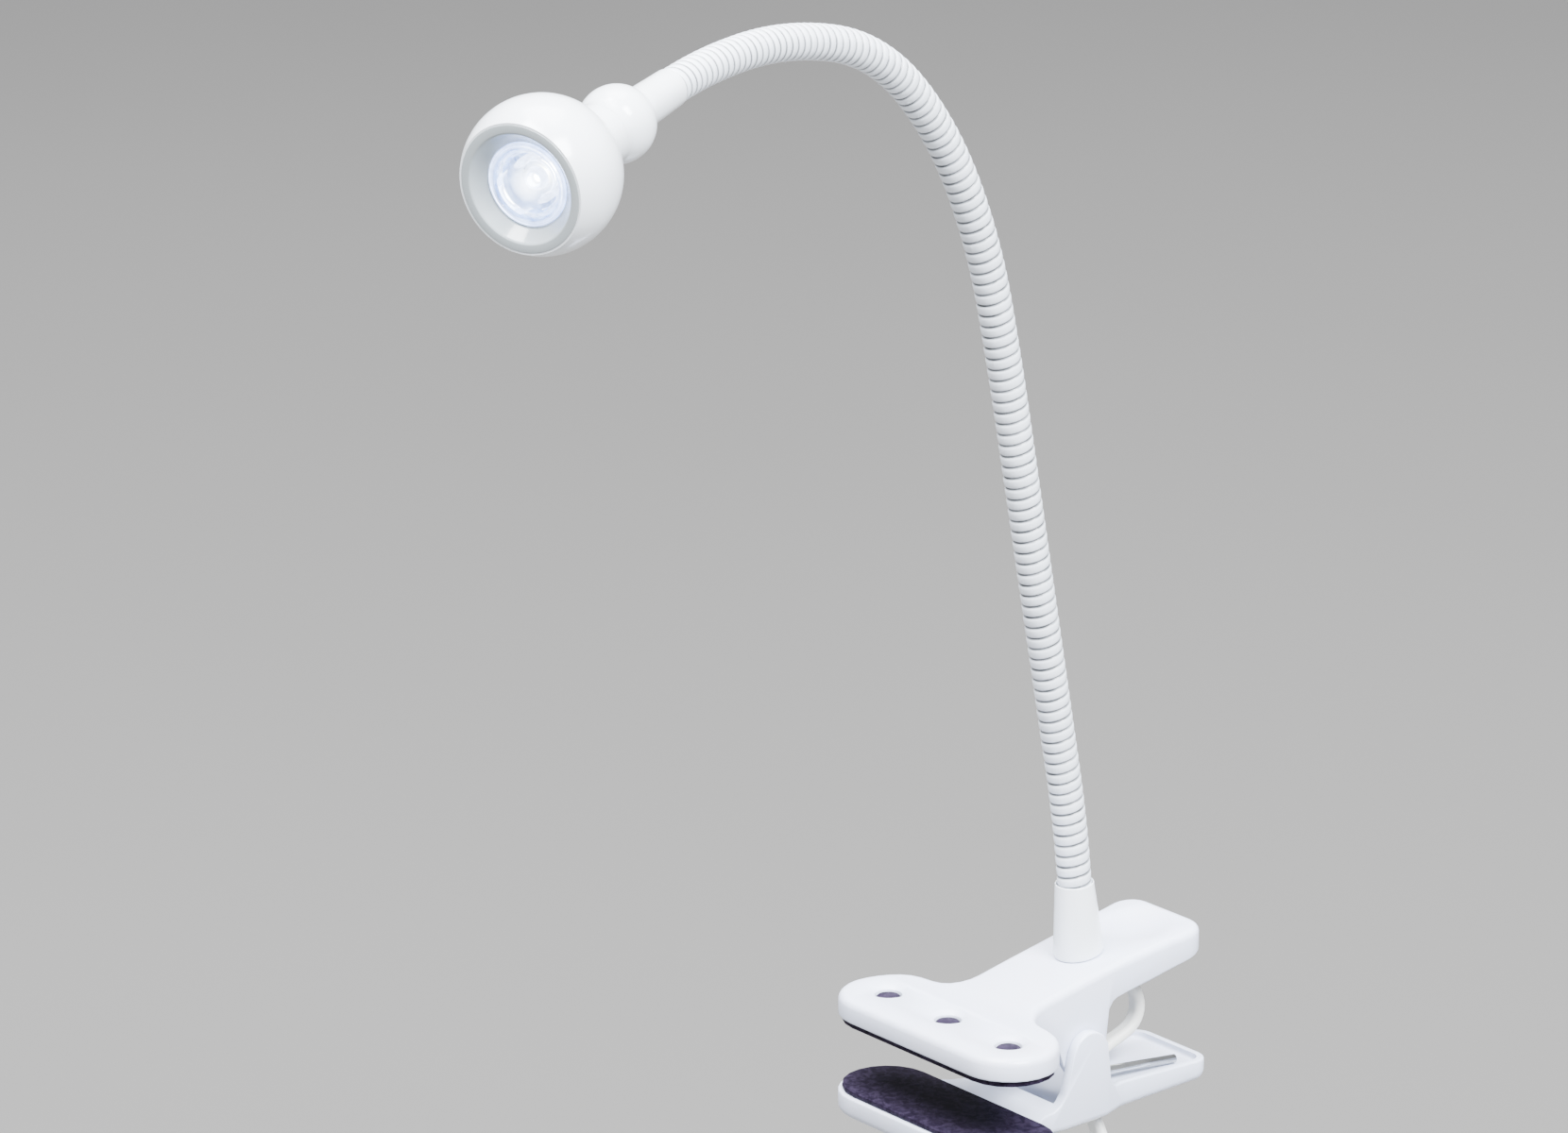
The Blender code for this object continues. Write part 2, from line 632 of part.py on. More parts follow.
def make_neck_fixings(steel, rubber, frame):
    """The hollow stud that holds the neck to the arm, with its washer, its nut and the cord's bush."""
    under = -TOP_WALL - WASHER / 2 * tan(upper_slope(FERRULE_Y) - radians(NECK_LEAN)) - 2 * GAP
    nut_top = under - WASHER_THICK - GAP
    bush_top = nut_top - NUT_THICK - GAP
    tip = bush_top - 0.0015
    flange = NECK_START - HOSE_IN_FERRULE - GAP
    spigot = HOSE_BORE / 2 - RUN
    profile = [(STUD_BORE / 2, flange + 0.008), (STUD_BORE / 2, tip), (STUD / 2 - 0.0005, tip)]
    profile += [(STUD / 2, tip + 0.0005), (STUD / 2, 0.0012), (HOSE / 2, 0.0012), (HOSE / 2, flange)]
    profile += [(spigot, flange), (spigot, flange + 0.008)]
    turned("neck_stud", profile[::-1], steel, frame, sides=20)
    ring = [(STUD / 2 + RUN, under), (WASHER / 2, under), (WASHER / 2, under - WASHER_THICK)]
    turned("stud_washer", ring + [(STUD / 2 + RUN, under - WASHER_THICK)], steel, frame, sides=24)
    hex_nut("stud_nut", NUT_FLATS, STUD / 2 + RUN, nut_top - NUT_THICK, nut_top, steel, frame)
    centre = bush_top - BUSH_HEIGHT / 2
    bush = box("cord_bush", (BUSH, BUSH, BUSH_HEIGHT), (0, 0, centre), rubber, frame, rounding=0.0012)
    spout = turned("bush_spout", [(0, 0), (BUSH_SPOUT + 0.0004, 0),
                                  (BUSH_SPOUT, BUSH / 2 + BUSH_SPOUT_LENGTH),
                                  (0, BUSH / 2 + BUSH_SPOUT_LENGTH)], rubber, frame, sides=16)
    spout.rotation_euler = (-pi / 2, 0, 0)
    spout.location = (0, 0, centre)
    cut(bush, spout, "UNION")
    socket = turned("bush_socket", [(0, bush_top + 0.001), (STUD / 2 + RUN, bush_top + 0.001),
                                    (STUD / 2 + RUN, tip - GAP), (0, tip - GAP)], rubber, frame, sides=20)
    cut(bush, socket)


def make_links(paint):
    """The hose as links that tilt on each other. Their cone-shaped end faces leave the bend its room."""
    slope = tan(radians(JOINT_LIMIT) / 2) * 1.12
    last = len(BENDS) - 1
    for k in range(len(BENDS)):
        near = neck_frame(k * LINK)
        frame = empty(f"neck_joint_{k}", near)
        local = near.inverted()
        rings = []
        for radius, ends in ((HOSE / 2, (0, 1)), (HOSE_BORE / 2, (1, 0))):
            clear = GAP / 2 + radius * slope
            low = k * LINK + clear if k else -HOSE_IN_FERRULE
            high = (k + 1) * LINK - (clear if k < last else GAP)
            spans = [low + (high - low) * i / LINK_STATIONS for i in range(LINK_STATIONS + 1)]
            for length in spans if ends[1] else spans[::-1]:
                place = local @ neck_frame(length)
                turns = (2 * pi * i / LINK_SIDES for i in range(LINK_SIDES))
                rings.append([place @ Vector((radius * cos(turn), radius * sin(turn), 0)) for turn in turns])
        solid(f"neck_link_{k}", *joined_rings(rings), paint, frame)


# The head

def make_head(paint, grey, clear, aluminium, resin, yellow, white, copper):
    frame = empty("head_axis", head_frame())
    seat = FRONT - 0.0018
    inner = BALL - SHELL
    bore = SINK_STUD + RUN
    shell = ball_profile(BALL, seat, -on_sphere(BALL, WAIST), 14)
    shell += [(WAIST, SEAM), (bore, SEAM), (bore, -on_sphere(inner, bore))]
    shell += ball_profile(inner, seat - 0.0002, -on_sphere(inner, bore), 10)[-2::-1]
    shell += [(on_sphere(inner, seat), seat)]
    turned("head_shell", shell, paint, frame, sides=32)

    joint = SEAM - GAP
    ball = [(SINK_STUD + RUN, joint), (WAIST, joint)]
    ball += ball_profile(REAR_BALL, on_sphere(REAR_BALL, WAIST), -on_sphere(REAR_BALL, COLLAR_FRONT), 9,
                         REAR_BALL_Z)[1:]
    ball += [(HOSE / 2 + COLLAR_OVER_HOSE, COLLAR_END), (HOSE_BORE / 2 + 0.0011, COLLAR_END),
             (HOSE_BORE / 2 + 0.0011, COLLAR_END + 0.011)]
    ball += [(STUD_BORE / 2, COLLAR_END + 0.011), (STUD_BORE / 2, joint - 0.0075),
             (SINK_STUD + RUN, joint - 0.0075)]
    turned("rear_ball", ball, paint, frame, sides=24)

    collar_top = COLLAR_END + 0.011 - GAP
    spigot = HOSE_BORE / 2 - RUN
    thread = HOSE_BORE / 2 + 0.0011 - RUN
    profile = [(STUD_BORE / 2, collar_top), (thread, collar_top), (thread, COLLAR_END + 0.001)]
    profile += [(spigot, COLLAR_END + 0.001), (spigot, COLLAR_END - 0.007),
                (STUD_BORE / 2, COLLAR_END - 0.007)]
    turned("head_stud", profile, aluminium, frame, sides=18)

    rim = on_sphere(BALL, FRONT)
    plug = on_sphere(inner, seat) - RUN
    lens_edge = LENS_RADIUS + RUN
    profile = [(rim - 0.0006, FRONT), (rim - 0.0020, FRONT - 0.0001),
               (lens_edge + 0.0006, LENS_FACE - 0.0002)]
    profile += [(lens_edge, LENS_FACE - 0.0008), (lens_edge, LENS_FACE - LENS_FLANGE),
                (plug - 0.0016, BEZEL_SKIRT - 0.001)]
    profile += [(plug - 0.0016, BEZEL_SKIRT - 0.003), (plug - 0.0006, BEZEL_SKIRT - 0.003),
                (plug, seat - 0.0006)]
    profile += [(plug, seat + GAP), (rim + 0.0003, seat + GAP), (rim, FRONT - 0.0005)]
    turned("bezel", profile, grey, frame, sides=32)

    foot = BOARD_Z + BOARD_THICK + 0.0022
    back = LENS_FACE - LENS_FLANGE
    lens = [(0, LENS_FACE + 0.0004), (LENS_RADIUS * 0.6, LENS_FACE + 0.0002),
            (LENS_RADIUS, LENS_FACE - 0.0003)]
    lens += [(LENS_RADIUS, back), (LENS_RADIUS - 0.0018, back), (0.0084, 0.0034), (0.0063, 0.0008)]
    lens += [(LENS_FOOT, foot), (LENS_FOOT - 0.0012, foot), (0.0024, foot + 0.0038), (0, foot + 0.0048)]
    turned("lens", lens, clear, frame, sides=28)

    floor = BOARD_Z + BOARD_THICK + GAP
    wide, narrow = LENS_RADIUS - 0.0002, BOARD_RADIUS - 0.0012
    cup = [(wide + HOLDER_WALL, back - GAP), (wide - 0.0010, back - GAP), (narrow - HOLDER_WALL, floor)]
    turned("lens_holder", (cup + [(narrow, floor)])[::-1], white, frame, sides=24)

    low = BOARD_Z
    disc = [(0, low + BOARD_THICK), (BOARD_RADIUS, low + BOARD_THICK), (BOARD_RADIUS, low), (0, low)]
    board = turned("led_board", disc, resin, frame, sides=28)
    chip_low = low + BOARD_THICK + GAP
    chip = box("led_chip", (CHIP, CHIP, 0.0007), (0, 0, chip_low + 0.00035), yellow, frame)
    dome = ball_profile(0.0013, 0.0013, 0.0002, 4, chip_low + 0.0004)[1:]
    dome = turned("chip_dome", [(0, chip_low + 0.0017)] + dome + [(0, chip_low + 0.0005)], yellow, frame,
                  sides=12)
    cut(chip, dome, "UNION")

    top = low - GAP
    sink = [(SINK_BORE, top - 0.0024), (LEAD_CIRCLE + 0.0014, top - 0.0024), (LEAD_CIRCLE + 0.0014, top)]
    sink += [(SINK_RADIUS, top), (SINK_RADIUS, top - 0.0012), (SINK_RADIUS - 0.0022, top - 0.0012)]
    sink += [(SINK_RADIUS - 0.0022, top - 0.0024), (SINK_RADIUS, top - 0.0024),
             (SINK_RADIUS, top - SINK_THICK)]
    sink += [(SINK_STUD, top - SINK_THICK), (SINK_STUD, joint - 0.0070), (SINK_BORE, joint - 0.0070)]
    sink = turned("heat_sink", sink, aluminium, frame, sides=28)

    for k, turn in enumerate((0, pi)):
        spot = Matrix.Translation((SCREW_CIRCLE * cos(turn), SCREW_CIRCLE * sin(turn), low + BOARD_THICK))
        place = empty(f"board_screw_{k + 1}_axis", frame.matrix_world @ spot)
        for target in (board, sink):
            reach = SINK_THICK
            hole = turned(f"{target.name}_screw_hole_{k + 1}", [(0, 0.001), (SCREW + RUN, 0.001),
                          (SCREW + RUN, -reach), (0, -reach)], aluminium, place, sides=12)
            cut(target, hole)
        profile = [(0, GAP + 0.0008), (SCREW_HEAD - 0.0003, GAP + 0.0008), (SCREW_HEAD, GAP + 0.0004)]
        profile += [(SCREW_HEAD, GAP), (SCREW, GAP), (SCREW, GAP - 0.0042), (0, GAP - 0.0042)]
        turned(f"board_screw_{k + 1}", profile, aluminium, place, sides=12)

    for name, turn, paint_of in (("lead_red", pi / 2, copper[0]), ("lead_black", -pi / 2, copper[1])):
        ahead = Vector((cos(turn), sin(turn), 0))
        pocket = top - LEAD / 2 - 0.0003
        route = [ahead * LEAD_CIRCLE + Vector((0, 0, pocket + 0.0002)),
                 ahead * 0.0034 + Vector((0, 0, pocket - 0.0003))]
        route += [ahead * 0.0015 + Vector((0, 0, pocket - 0.0016)),
                  ahead * 0.0010 + Vector((0, 0, pocket - 0.0040))]
        route += [ahead * 0.0010 + Vector((0, 0, z)) for z in (-0.020, -0.033, joint - 0.0066)]
        tube(name, smooth_route(route, LEAD * 2.5), LEAD, paint_of, frame)


# The cord, its switch and its plug

def make_cord(ivory, dark):
    for name, route in (("cord_loop", LOOP_ROUTE), ("cord_lead", LEAD_ROUTE), ("cord_tail", TAIL_ROUTE)):
        tube(name, smooth_route(route, CORD_TUBE * 0.6), CORD_TUBE, ivory)
    section = arc((COIL_MEAN, 0), COIL_SECTION, 0, 360, 10)[:-1]
    coil = turned("cord_coil", section, ivory, sides=28)
    coil.rotation_euler = (pi / 2, 0, 0)
    coil.location = COIL_CENTRE
    place = empty("tie_axis", Matrix.Translation(COIL_CENTRE + Vector((0, 0, COIL_MEAN)))
                  @ Matrix.Rotation(pi / 2, 4, "Y"))
    inner = COIL_SECTION + 0.0006
    band = [(inner, TIE_WIDTH / 2), (inner + TIE_THICK, TIE_WIDTH / 2), (inner + TIE_THICK, -TIE_WIDTH / 2)]
    turned("cord_tie", band + [(inner, -TIE_WIDTH / 2)], dark, place, sides=20)


def shell_half(name, size, wall, open_side, centre, plastic):
    """Half of a case, cut at its middle along Y. open_side is 1 where the half opens towards +Y."""
    depth = size.y / 2 - GAP / 2
    middle = centre - Vector((0, open_side * (depth / 2 + GAP / 2), 0))
    half = box(name, (size.x, depth, size.z), middle, plastic, rounding=0.0016)
    hollow = Vector((size.x - 2 * wall, depth, size.z - 2 * wall))
    cut(half, box(f"{name}_hollow", hollow, middle + Vector((0, open_side * wall, 0)), plastic))
    return half


def make_switch(white, steel):
    centre = SWITCH_TOP - Vector((0, 0, SWITCH.z / 2))
    halves = [shell_half("switch_cover", SWITCH, SWITCH_WALL, -1, centre, white),
              shell_half("switch_base", SWITCH, SWITCH_WALL, 1, centre, white)]
    radius = CORD_TUBE / 2 + RUN
    notch = turned("switch_cord_hole", [(0, SWITCH.z), (radius, SWITCH.z), (radius, -SWITCH.z),
                                        (0, -SWITCH.z)],
                   white, sides=16)
    notch.location = centre
    for half in halves:
        cut(half, notch)
    axis_point = centre + Vector((0, SWITCH.y / 2 - 0.0004, 0))
    reach = hypot(ROCKER_LENGTH, ROCKER_PROUD) + GAP * 1.5
    window = (2 * ROCKER_HALF + 0.0008, SWITCH_WALL * 3, 2 * reach)
    cut(halves[0], box("rocker_window", window, axis_point, white))
    profile = [(ROCKER_LENGTH, ROCKER_PROUD), (0, ROCKER_PROUD * 0.5), (-ROCKER_LENGTH, ROCKER_PROUD)]
    profile += [(-ROCKER_LENGTH, -0.0012), (-0.0034, -ROCKER_DEEP), (0.0034, -ROCKER_DEEP),
                (ROCKER_LENGTH, -0.0012)]
    rocker = prism("switch_rocker", profile, -ROCKER_HALF, ROCKER_HALF, white)
    rocker.data.transform(Matrix(((0, 0, 1, 0), (0, 1, 0, 0), (1, 0, 0, 0), (0, 0, 0, 1))))
    rocker.data.flip_normals()
    rocker.rotation_euler = (radians(ROCKER_REST), 0, 0)
    rocker.location = axis_point
    for k in (-1, 1):
        outer = centre + Vector((0, -SWITCH.y / 2, k * SWITCH.z * 0.34))
        place = empty(f"switch_screw_{(k + 3) // 2}_axis",
                      Matrix.Translation(outer) @ Matrix.Rotation(pi / 2, 4, "X"))
        hole = turned(f"switch_screw_hole_{(k + 3) // 2}", [(0, 0.001), (SCREW_HEAD + RUN, 0.001),
                      (SCREW_HEAD + RUN, -0.0008), (SCREW + RUN, -0.0008),
                      (SCREW + RUN, -0.0035), (0, -0.0035)],
                      white, place, sides=12)
        cut(halves[1], hole)
        profile = [(0, -0.0001), (SCREW_HEAD - 0.0002, -0.0001), (SCREW_HEAD, -0.0003), (SCREW_HEAD, -0.0005)]
        profile += [(SCREW, -0.0005), (SCREW, -0.0045), (0, -0.0045)]
        turned(f"switch_screw_{(k + 3) // 2}", profile, steel, place, sides=12)


def make_plug(white, brass, resin, ferrite, ivory):
    cord_top = SWITCH_TOP - Vector((0, 0, SWITCH.z + GAP))
    cord_end = cord_top - Vector((0, 0, END_LENGTH))
    tube("cord_end", [cord_top.lerp(cord_end, k / 2) for k in range(3)], CORD_TUBE, ivory)
    thin, thick, length = RELIEF
    place = empty("plug_axis", Matrix.Translation(cord_end - Vector((0, 0, GAP))))
    relief = [(0, 0), (thin, 0), (thick, -length), (0, -length)]
    turned("plug_relief", relief, white, place, sides=20)
    top = place.matrix_world.translation - Vector((0, 0, length + GAP))
    box("plug_cover", (PLUG.x, PLUG.y, PLUG_LID), top - Vector((0, 0, PLUG_LID / 2)), white,
        rounding=0.0016)
    case_top = top - Vector((0, 0, PLUG_LID + GAP))
    height = PLUG.z - PLUG_LID
    case = box("plug_case", (PLUG.x, PLUG.y, height), case_top - Vector((0, 0, height / 2)), white,
               rounding=0.0016)
    hollow = (PLUG.x - 2 * PLUG_WALL, PLUG.y - 2 * PLUG_WALL, height)
    cut(case, box("plug_hollow", hollow, case_top - Vector((0, 0, height / 2 - PLUG_WALL)), white))
    bottom = case_top - Vector((0, 0, height))
    for k in (-1, 1):
        pin_at = empty(f"plug_pin_{(k + 3) // 2}_axis",
                       Matrix.Translation(bottom + Vector((k * PLUG_PIN_SPREAD, 0, 0))))
        radius = PLUG_PIN + RUN
        hole = turned(f"plug_pin_hole_{(k + 3) // 2}",
                      [(0, 0.01), (radius, 0.01), (radius, -0.01), (0, -0.01)],
                      white, pin_at, sides=14)
        cut(case, hole)
        tip = -PLUG_PIN_OUT
        profile = [(0, PLUG_PIN_IN), (PLUG_PIN, PLUG_PIN_IN), (PLUG_PIN, tip + 0.0012),
                   (PLUG_PIN * 0.7, tip + 0.0003)]
        turned(f"plug_pin_{(k + 3) // 2}", profile + [(0, tip)], brass, pin_at, sides=14)
    circuit_y = -PLUG.y / 2 + PLUG_WALL + 0.005
    circuit = Vector((PLUG.x - 2 * PLUG_WALL - 0.002, CIRCUIT_BOARD, height - PLUG_WALL - 0.014))
    circuit_at = case_top + Vector((0, circuit_y, -0.002 - circuit.z / 2))
    box("driver_board", circuit, circuit_at, resin)
    above = CIRCUIT_BOARD / 2 + GAP + TRANSFORMER.y / 2
    box("driver_transformer", TRANSFORMER, circuit_at + Vector((0, above, 0)), ferrite, rounding=0.001)


def main():
    for obj in list(bpy.context.scene.objects):
        bpy.data.objects.remove(obj, do_unlink=True)
    plastic = material("clip_plastic", (0.78, 0.80, 0.86), 0.42)
    paint = material("white_paint", (0.86, 0.88, 0.90), 0.30)
    rubber = material("violet_rubber", (0.30, 0.25, 0.42), 0.45)
    steel = material("steel", (0.62, 0.63, 0.65), 0.28, 1.0)
    aluminium = material("aluminium", (0.75, 0.76, 0.78), 0.35, 1.0)
    white = material("white_plastic", (0.84, 0.85, 0.86), 0.38)
    ivory = material("ivory_cord", (0.83, 0.82, 0.76), 0.50)
    make_upper_jaw(plastic)
    make_pad("upper_pad", 0.0, 1, rubber)
    make_lower_jaw(plastic)
    make_pad("lower_pad", -BOARD, -1, rubber)
    make_pin(steel)
    tube("torsion_spring", wire_route(), WIRE, steel)
    frame = empty("ferrule_axis", ferrule_frame())
    make_ferrule(paint, frame)
    make_neck_fixings(steel, white, frame)
    make_links(paint)
    leads = (material("red_wire", (0.55, 0.04, 0.03), 0.45), material("black_wire", (0.02, 0.02, 0.02), 0.45))
    make_head(paint, material("grey_paint", (0.66, 0.69, 0.70), 0.40),
              material("clear_lens", (0.90, 0.95, 1.0), 0.05),
              aluminium, material("circuit_resin", (0.80, 0.82, 0.80), 0.50),
              material("phosphor", (0.95, 0.85, 0.35), 0.40),
              white, leads)
    make_cord(ivory, material("tie_plastic", (0.10, 0.10, 0.11), 0.50))
    make_switch(white, steel)
    make_plug(white, material("plated_brass", (0.78, 0.72, 0.55), 0.25, 1.0),
              material("green_resin", (0.06, 0.25, 0.12), 0.45),
              material("ferrite", (0.09, 0.08, 0.08), 0.55), ivory)


main()
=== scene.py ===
import json
from math import acos, cos, hypot, pi, radians, sin, sqrt

import bmesh
import bpy
from mathutils import Matrix, Vector


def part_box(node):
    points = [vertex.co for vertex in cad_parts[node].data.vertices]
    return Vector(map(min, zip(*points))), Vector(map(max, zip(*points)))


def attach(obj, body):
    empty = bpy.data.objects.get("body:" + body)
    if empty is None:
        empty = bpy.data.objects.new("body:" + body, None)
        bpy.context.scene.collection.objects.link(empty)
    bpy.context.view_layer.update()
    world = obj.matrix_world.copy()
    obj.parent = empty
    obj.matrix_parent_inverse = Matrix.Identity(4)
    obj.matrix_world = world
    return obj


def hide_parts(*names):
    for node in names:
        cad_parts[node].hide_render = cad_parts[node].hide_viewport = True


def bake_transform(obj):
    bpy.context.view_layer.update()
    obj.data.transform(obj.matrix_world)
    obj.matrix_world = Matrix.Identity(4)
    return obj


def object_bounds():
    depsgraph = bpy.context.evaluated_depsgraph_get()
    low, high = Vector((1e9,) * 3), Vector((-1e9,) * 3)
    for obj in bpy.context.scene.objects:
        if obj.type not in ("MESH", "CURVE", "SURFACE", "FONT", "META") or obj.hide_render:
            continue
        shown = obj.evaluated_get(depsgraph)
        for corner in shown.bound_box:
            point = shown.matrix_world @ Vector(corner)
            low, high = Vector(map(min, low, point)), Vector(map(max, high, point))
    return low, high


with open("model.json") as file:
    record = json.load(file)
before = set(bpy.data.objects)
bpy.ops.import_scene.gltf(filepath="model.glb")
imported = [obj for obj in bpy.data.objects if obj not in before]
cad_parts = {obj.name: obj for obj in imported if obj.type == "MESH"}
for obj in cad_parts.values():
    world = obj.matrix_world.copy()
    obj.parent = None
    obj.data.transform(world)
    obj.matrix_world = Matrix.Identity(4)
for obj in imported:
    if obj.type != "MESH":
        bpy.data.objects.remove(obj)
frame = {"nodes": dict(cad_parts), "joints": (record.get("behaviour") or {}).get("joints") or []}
cad_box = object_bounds()

CLIP = "upper_clip"
JAW = "lower_jaw"
HEAD = "neck_9"
MM = 0.001


# Shading: sums and products of a material's own values


class Shade:
    """A value or a colour inside one material. Plain arithmetic on it adds the nodes."""

    def __init__(self, finish, socket, colour=False):
        self.finish = finish
        self.socket = socket
        self.colour = colour

    def _sum(self, operation, first, second):
        colour = self.colour or getattr(second, "colour", False) or getattr(first, "colour", False)
        kind = "ShaderNodeVectorMath" if colour else "ShaderNodeMath"
        return self.finish.add(kind, {"operation": operation}, {0: first, 1: second}, colour=colour)

    def __add__(self, other):
        return self._sum("ADD", self, other)

    def __radd__(self, other):
        return self._sum("ADD", other, self)

    def __sub__(self, other):
        return self._sum("SUBTRACT", self, other)

    def __rsub__(self, other):
        return self._sum("SUBTRACT", other, self)

    def __mul__(self, other):
        return self._sum("MULTIPLY", self, other)

    def __rmul__(self, other):
        return self._sum("MULTIPLY", other, self)

    def __truediv__(self, other):
        return self._sum("DIVIDE", self, other)

    def __pow__(self, other):
        return self._sum("POWER", self, other)

    def rises(self, low, high):
        """0 below low, 1 above high, smooth between."""
        return self.finish.add("ShaderNodeMapRange", {"interpolation_type": "SMOOTHSTEP", "clamp": True},
                               {"Value": self, "From Min": low, "From Max": high})

    def mixed(self, other, share):
        """This where share is 0, other where it is 1."""
        return self.finish.mix(self, other, share)


class Finish:
    """One material. Its constants go straight on the shader, and set() links what varies."""

    def __init__(self, name, colour, roughness, **constants):
        self.material = bpy.data.materials.new(name)
        self.material.use_nodes = True
        self.tree = self.material.node_tree
        self.shader = self.tree.nodes["Principled BSDF"]
        self.base = tuple(colour)
        self.set("Base Color", (*colour, 1.0))
        self.set("Roughness", roughness)
        for name, value in constants.items():
            self.set(name.replace("_", " ").title().replace("Ior", "IOR"), value)
        self.place = self.add("ShaderNodeTexCoord", {}, {}, output="Object", colour=True)

    def set(self, name, value):
        socket = self.shader.inputs[name]
        if isinstance(value, Shade):
            self.tree.links.new(value.socket, socket)
        else:
            socket.default_value = value

    def add(self, kind, settings, values, output=0, colour=False):
        """Any node: its type, its settings, then its sockets' values or links."""
        node = self.tree.nodes.new(kind)
        for key, value in settings.items():
            if key == "stops":
                ramp = node.color_ramp.elements
                while len(ramp) < len(value):
                    ramp.new(0.5)
                for stop, (position, shade) in zip(ramp, value):
                    stop.position = position
                    stop.color = (*shade, 1.0)
            else:
                setattr(node, key, value)
        for key, value in values.items():
            socket = node.inputs[key]
            if isinstance(value, Shade):
                self.tree.links.new(value.socket, socket)
            elif isinstance(value, (int, float)) and socket.type == "VECTOR":
                socket.default_value = (value, value, value)
            else:
                socket.default_value = value
        return Shade(self, node.outputs[output], colour)

    def mix(self, first, second, share):
        """A colour between two others."""
        node = self.tree.nodes.new("ShaderNodeMix")
        node.data_type = "RGBA"
        for socket, value in ((node.inputs[0], share), (node.inputs[6], first), (node.inputs[7], second)):
            if isinstance(value, Shade):
                self.tree.links.new(value.socket, socket)
            else:
                socket.default_value = value if isinstance(value, (int, float)) else (*value[:3], 1.0)
        return Shade(self, node.outputs[2], True)

    def grain(self, size, detail=3.0, rough=0.55, warp=0.0, stretch=(1, 1, 1)):
        """Soft random relief. size is the width of its spots in metres."""
        where = self.place
        if stretch != (1, 1, 1):
            where = self.add("ShaderNodeMapping", {}, {"Vector": where, "Scale": stretch}, colour=True)
        return self.add("ShaderNodeTexNoise", {}, {"Vector": where, "Scale": 1 / size, "Detail": detail,
                                                  "Roughness": rough, "Distortion": warp}, output="Fac")

    def cells(self, size, feature="F1"):
        values = {"Vector": self.place, "Scale": 1 / size}
        return self.add("ShaderNodeTexVoronoi", {"feature": feature}, values)

    def painted(self, name):
        """What the mesh itself says at each point, from 0 to 1."""
        return self.add("ShaderNodeAttribute", {"attribute_name": name}, {}, output="Fac")

    def relief(self, height, depth, strength=0.5, over=None):
        """Raises the surface by height times depth, in metres."""
        values = {"Height": height, "Distance": depth, "Strength": strength}
        if over:
            values["Normal"] = over
        return self.add("ShaderNodeBump", {}, values, output="Normal", colour=True)


def moulded(name, colour, roughness, warm, texture, speck=0.35, **constants):
    """Moulded plastic: a fine even surface from the tool, faint cloudiness and a little dust."""
    finish = Finish(name, colour, roughness, **constants)
    cloud = finish.grain(22 * MM, 2.0)
    dust = finish.cells(2.6 * MM).rises(0.16, 0.05) * finish.grain(7 * MM).rises(0.56, 0.70)
    shade = finish.mix(colour, warm, cloud.rises(0.35, 0.75) * 0.6)
    finish.set("Base Color", shade.mixed([c * 0.82 for c in colour], dust * speck))
    finish.set("Roughness", roughness - 0.05 + finish.grain(5 * MM) * 0.08 + dust * 0.2)
    pores = finish.grain(texture, 2.0, 0.7)
    finish.set("Normal", finish.relief(pores, texture * 0.10, 0.35, finish.relief(cloud, 0.12 * MM, 0.25)))
    return finish.material


def enamelled(name, colour, low, roughness, hollow=None):
    """Gloss paint: a slight orange peel, and painted shade in the hollows, stronger in patches and duller
    there.
    """
    finish = Finish(name, colour, roughness, coat_weight=0.35, coat_roughness=0.12)
    peel = finish.grain(1.6 * MM, 2.0, 0.5)
    cloud = finish.grain(28 * MM, 2.0)
    shade = finish.mix(colour, [c * 0.96 for c in colour], cloud.rises(0.35, 0.7))
    if hollow:
        # painted shade: low is the dark colour laid into the hollows, stronger or weaker in patches
        depth = finish.painted(hollow)
        shade_patches = finish.grain(6 * MM).rises(0.3, 0.8)
        shade = shade.mixed(low, depth * (0.72 + shade_patches * 0.28))
        finish.set("Roughness", roughness + depth * 0.3 + peel * 0.05)
    else:
        finish.set("Roughness", roughness - 0.03 + peel * 0.08)
    finish.set("Base Color", shade)
    finish.set("Normal", finish.relief(peel, 0.02 * MM, 0.22))
    return finish.material


def metal(name, colour, roughness, lines, dark=0.75, **constants):
    """Bare metal with fine lines along one direction and a dull bloom in patches."""
    finish = Finish(name, colour, roughness, metallic=1.0, **constants)
    streak = finish.grain(0.35 * MM, 3.0, 0.6, stretch=lines)
    bloom = finish.grain(4 * MM, 4.0)
    finish.set("Base Color", finish.mix(colour, [c * dark for c in colour], bloom.rises(0.42, 0.75)))
    finish.set("Roughness", roughness - 0.06 + streak * 0.12 + bloom.rises(0.5, 0.8) * 0.10)
    finish.set("Normal", finish.relief(streak, 0.004 * MM, 0.2))
    return finish.material


def soft_rubber(name, colour, light, speckle):
    """Cast rubber with milky clouds and darker flecks."""
    finish = Finish(name, colour, 0.5, specular_ior_level=0.05)
    cloud = finish.grain(2.2 * MM, 5.0, 0.65, warp=0.8)
    fleck = finish.cells(0.9 * MM).rises(0.30, 0.12)
    shade = finish.mix(colour, light, cloud.rises(0.38, 0.66))
    finish.set("Base Color", shade.mixed(speckle, fleck * 0.45))
    finish.set("Roughness", 0.45 + cloud * 0.2)
    finish.set("Normal", finish.relief(cloud, 0.08 * MM, 0.4))
    return finish.material


def vinyl(name, colour, warm):
    """The cord's soft jacket: drawn lengthwise, a little oily, handled darker here and there."""
    finish = Finish(name, colour, 0.45, sheen_weight=0.08)
    rub = finish.grain(14 * MM, 3.0)
    pores = finish.grain(0.5 * MM, 2.0)
    finish.set("Base Color", finish.mix(colour, warm, rub.rises(0.4, 0.75)))
    finish.set("Roughness", 0.38 + rub * 0.14)
    finish.set("Normal", finish.relief(pores, 0.02 * MM, 0.3))
    return finish.material


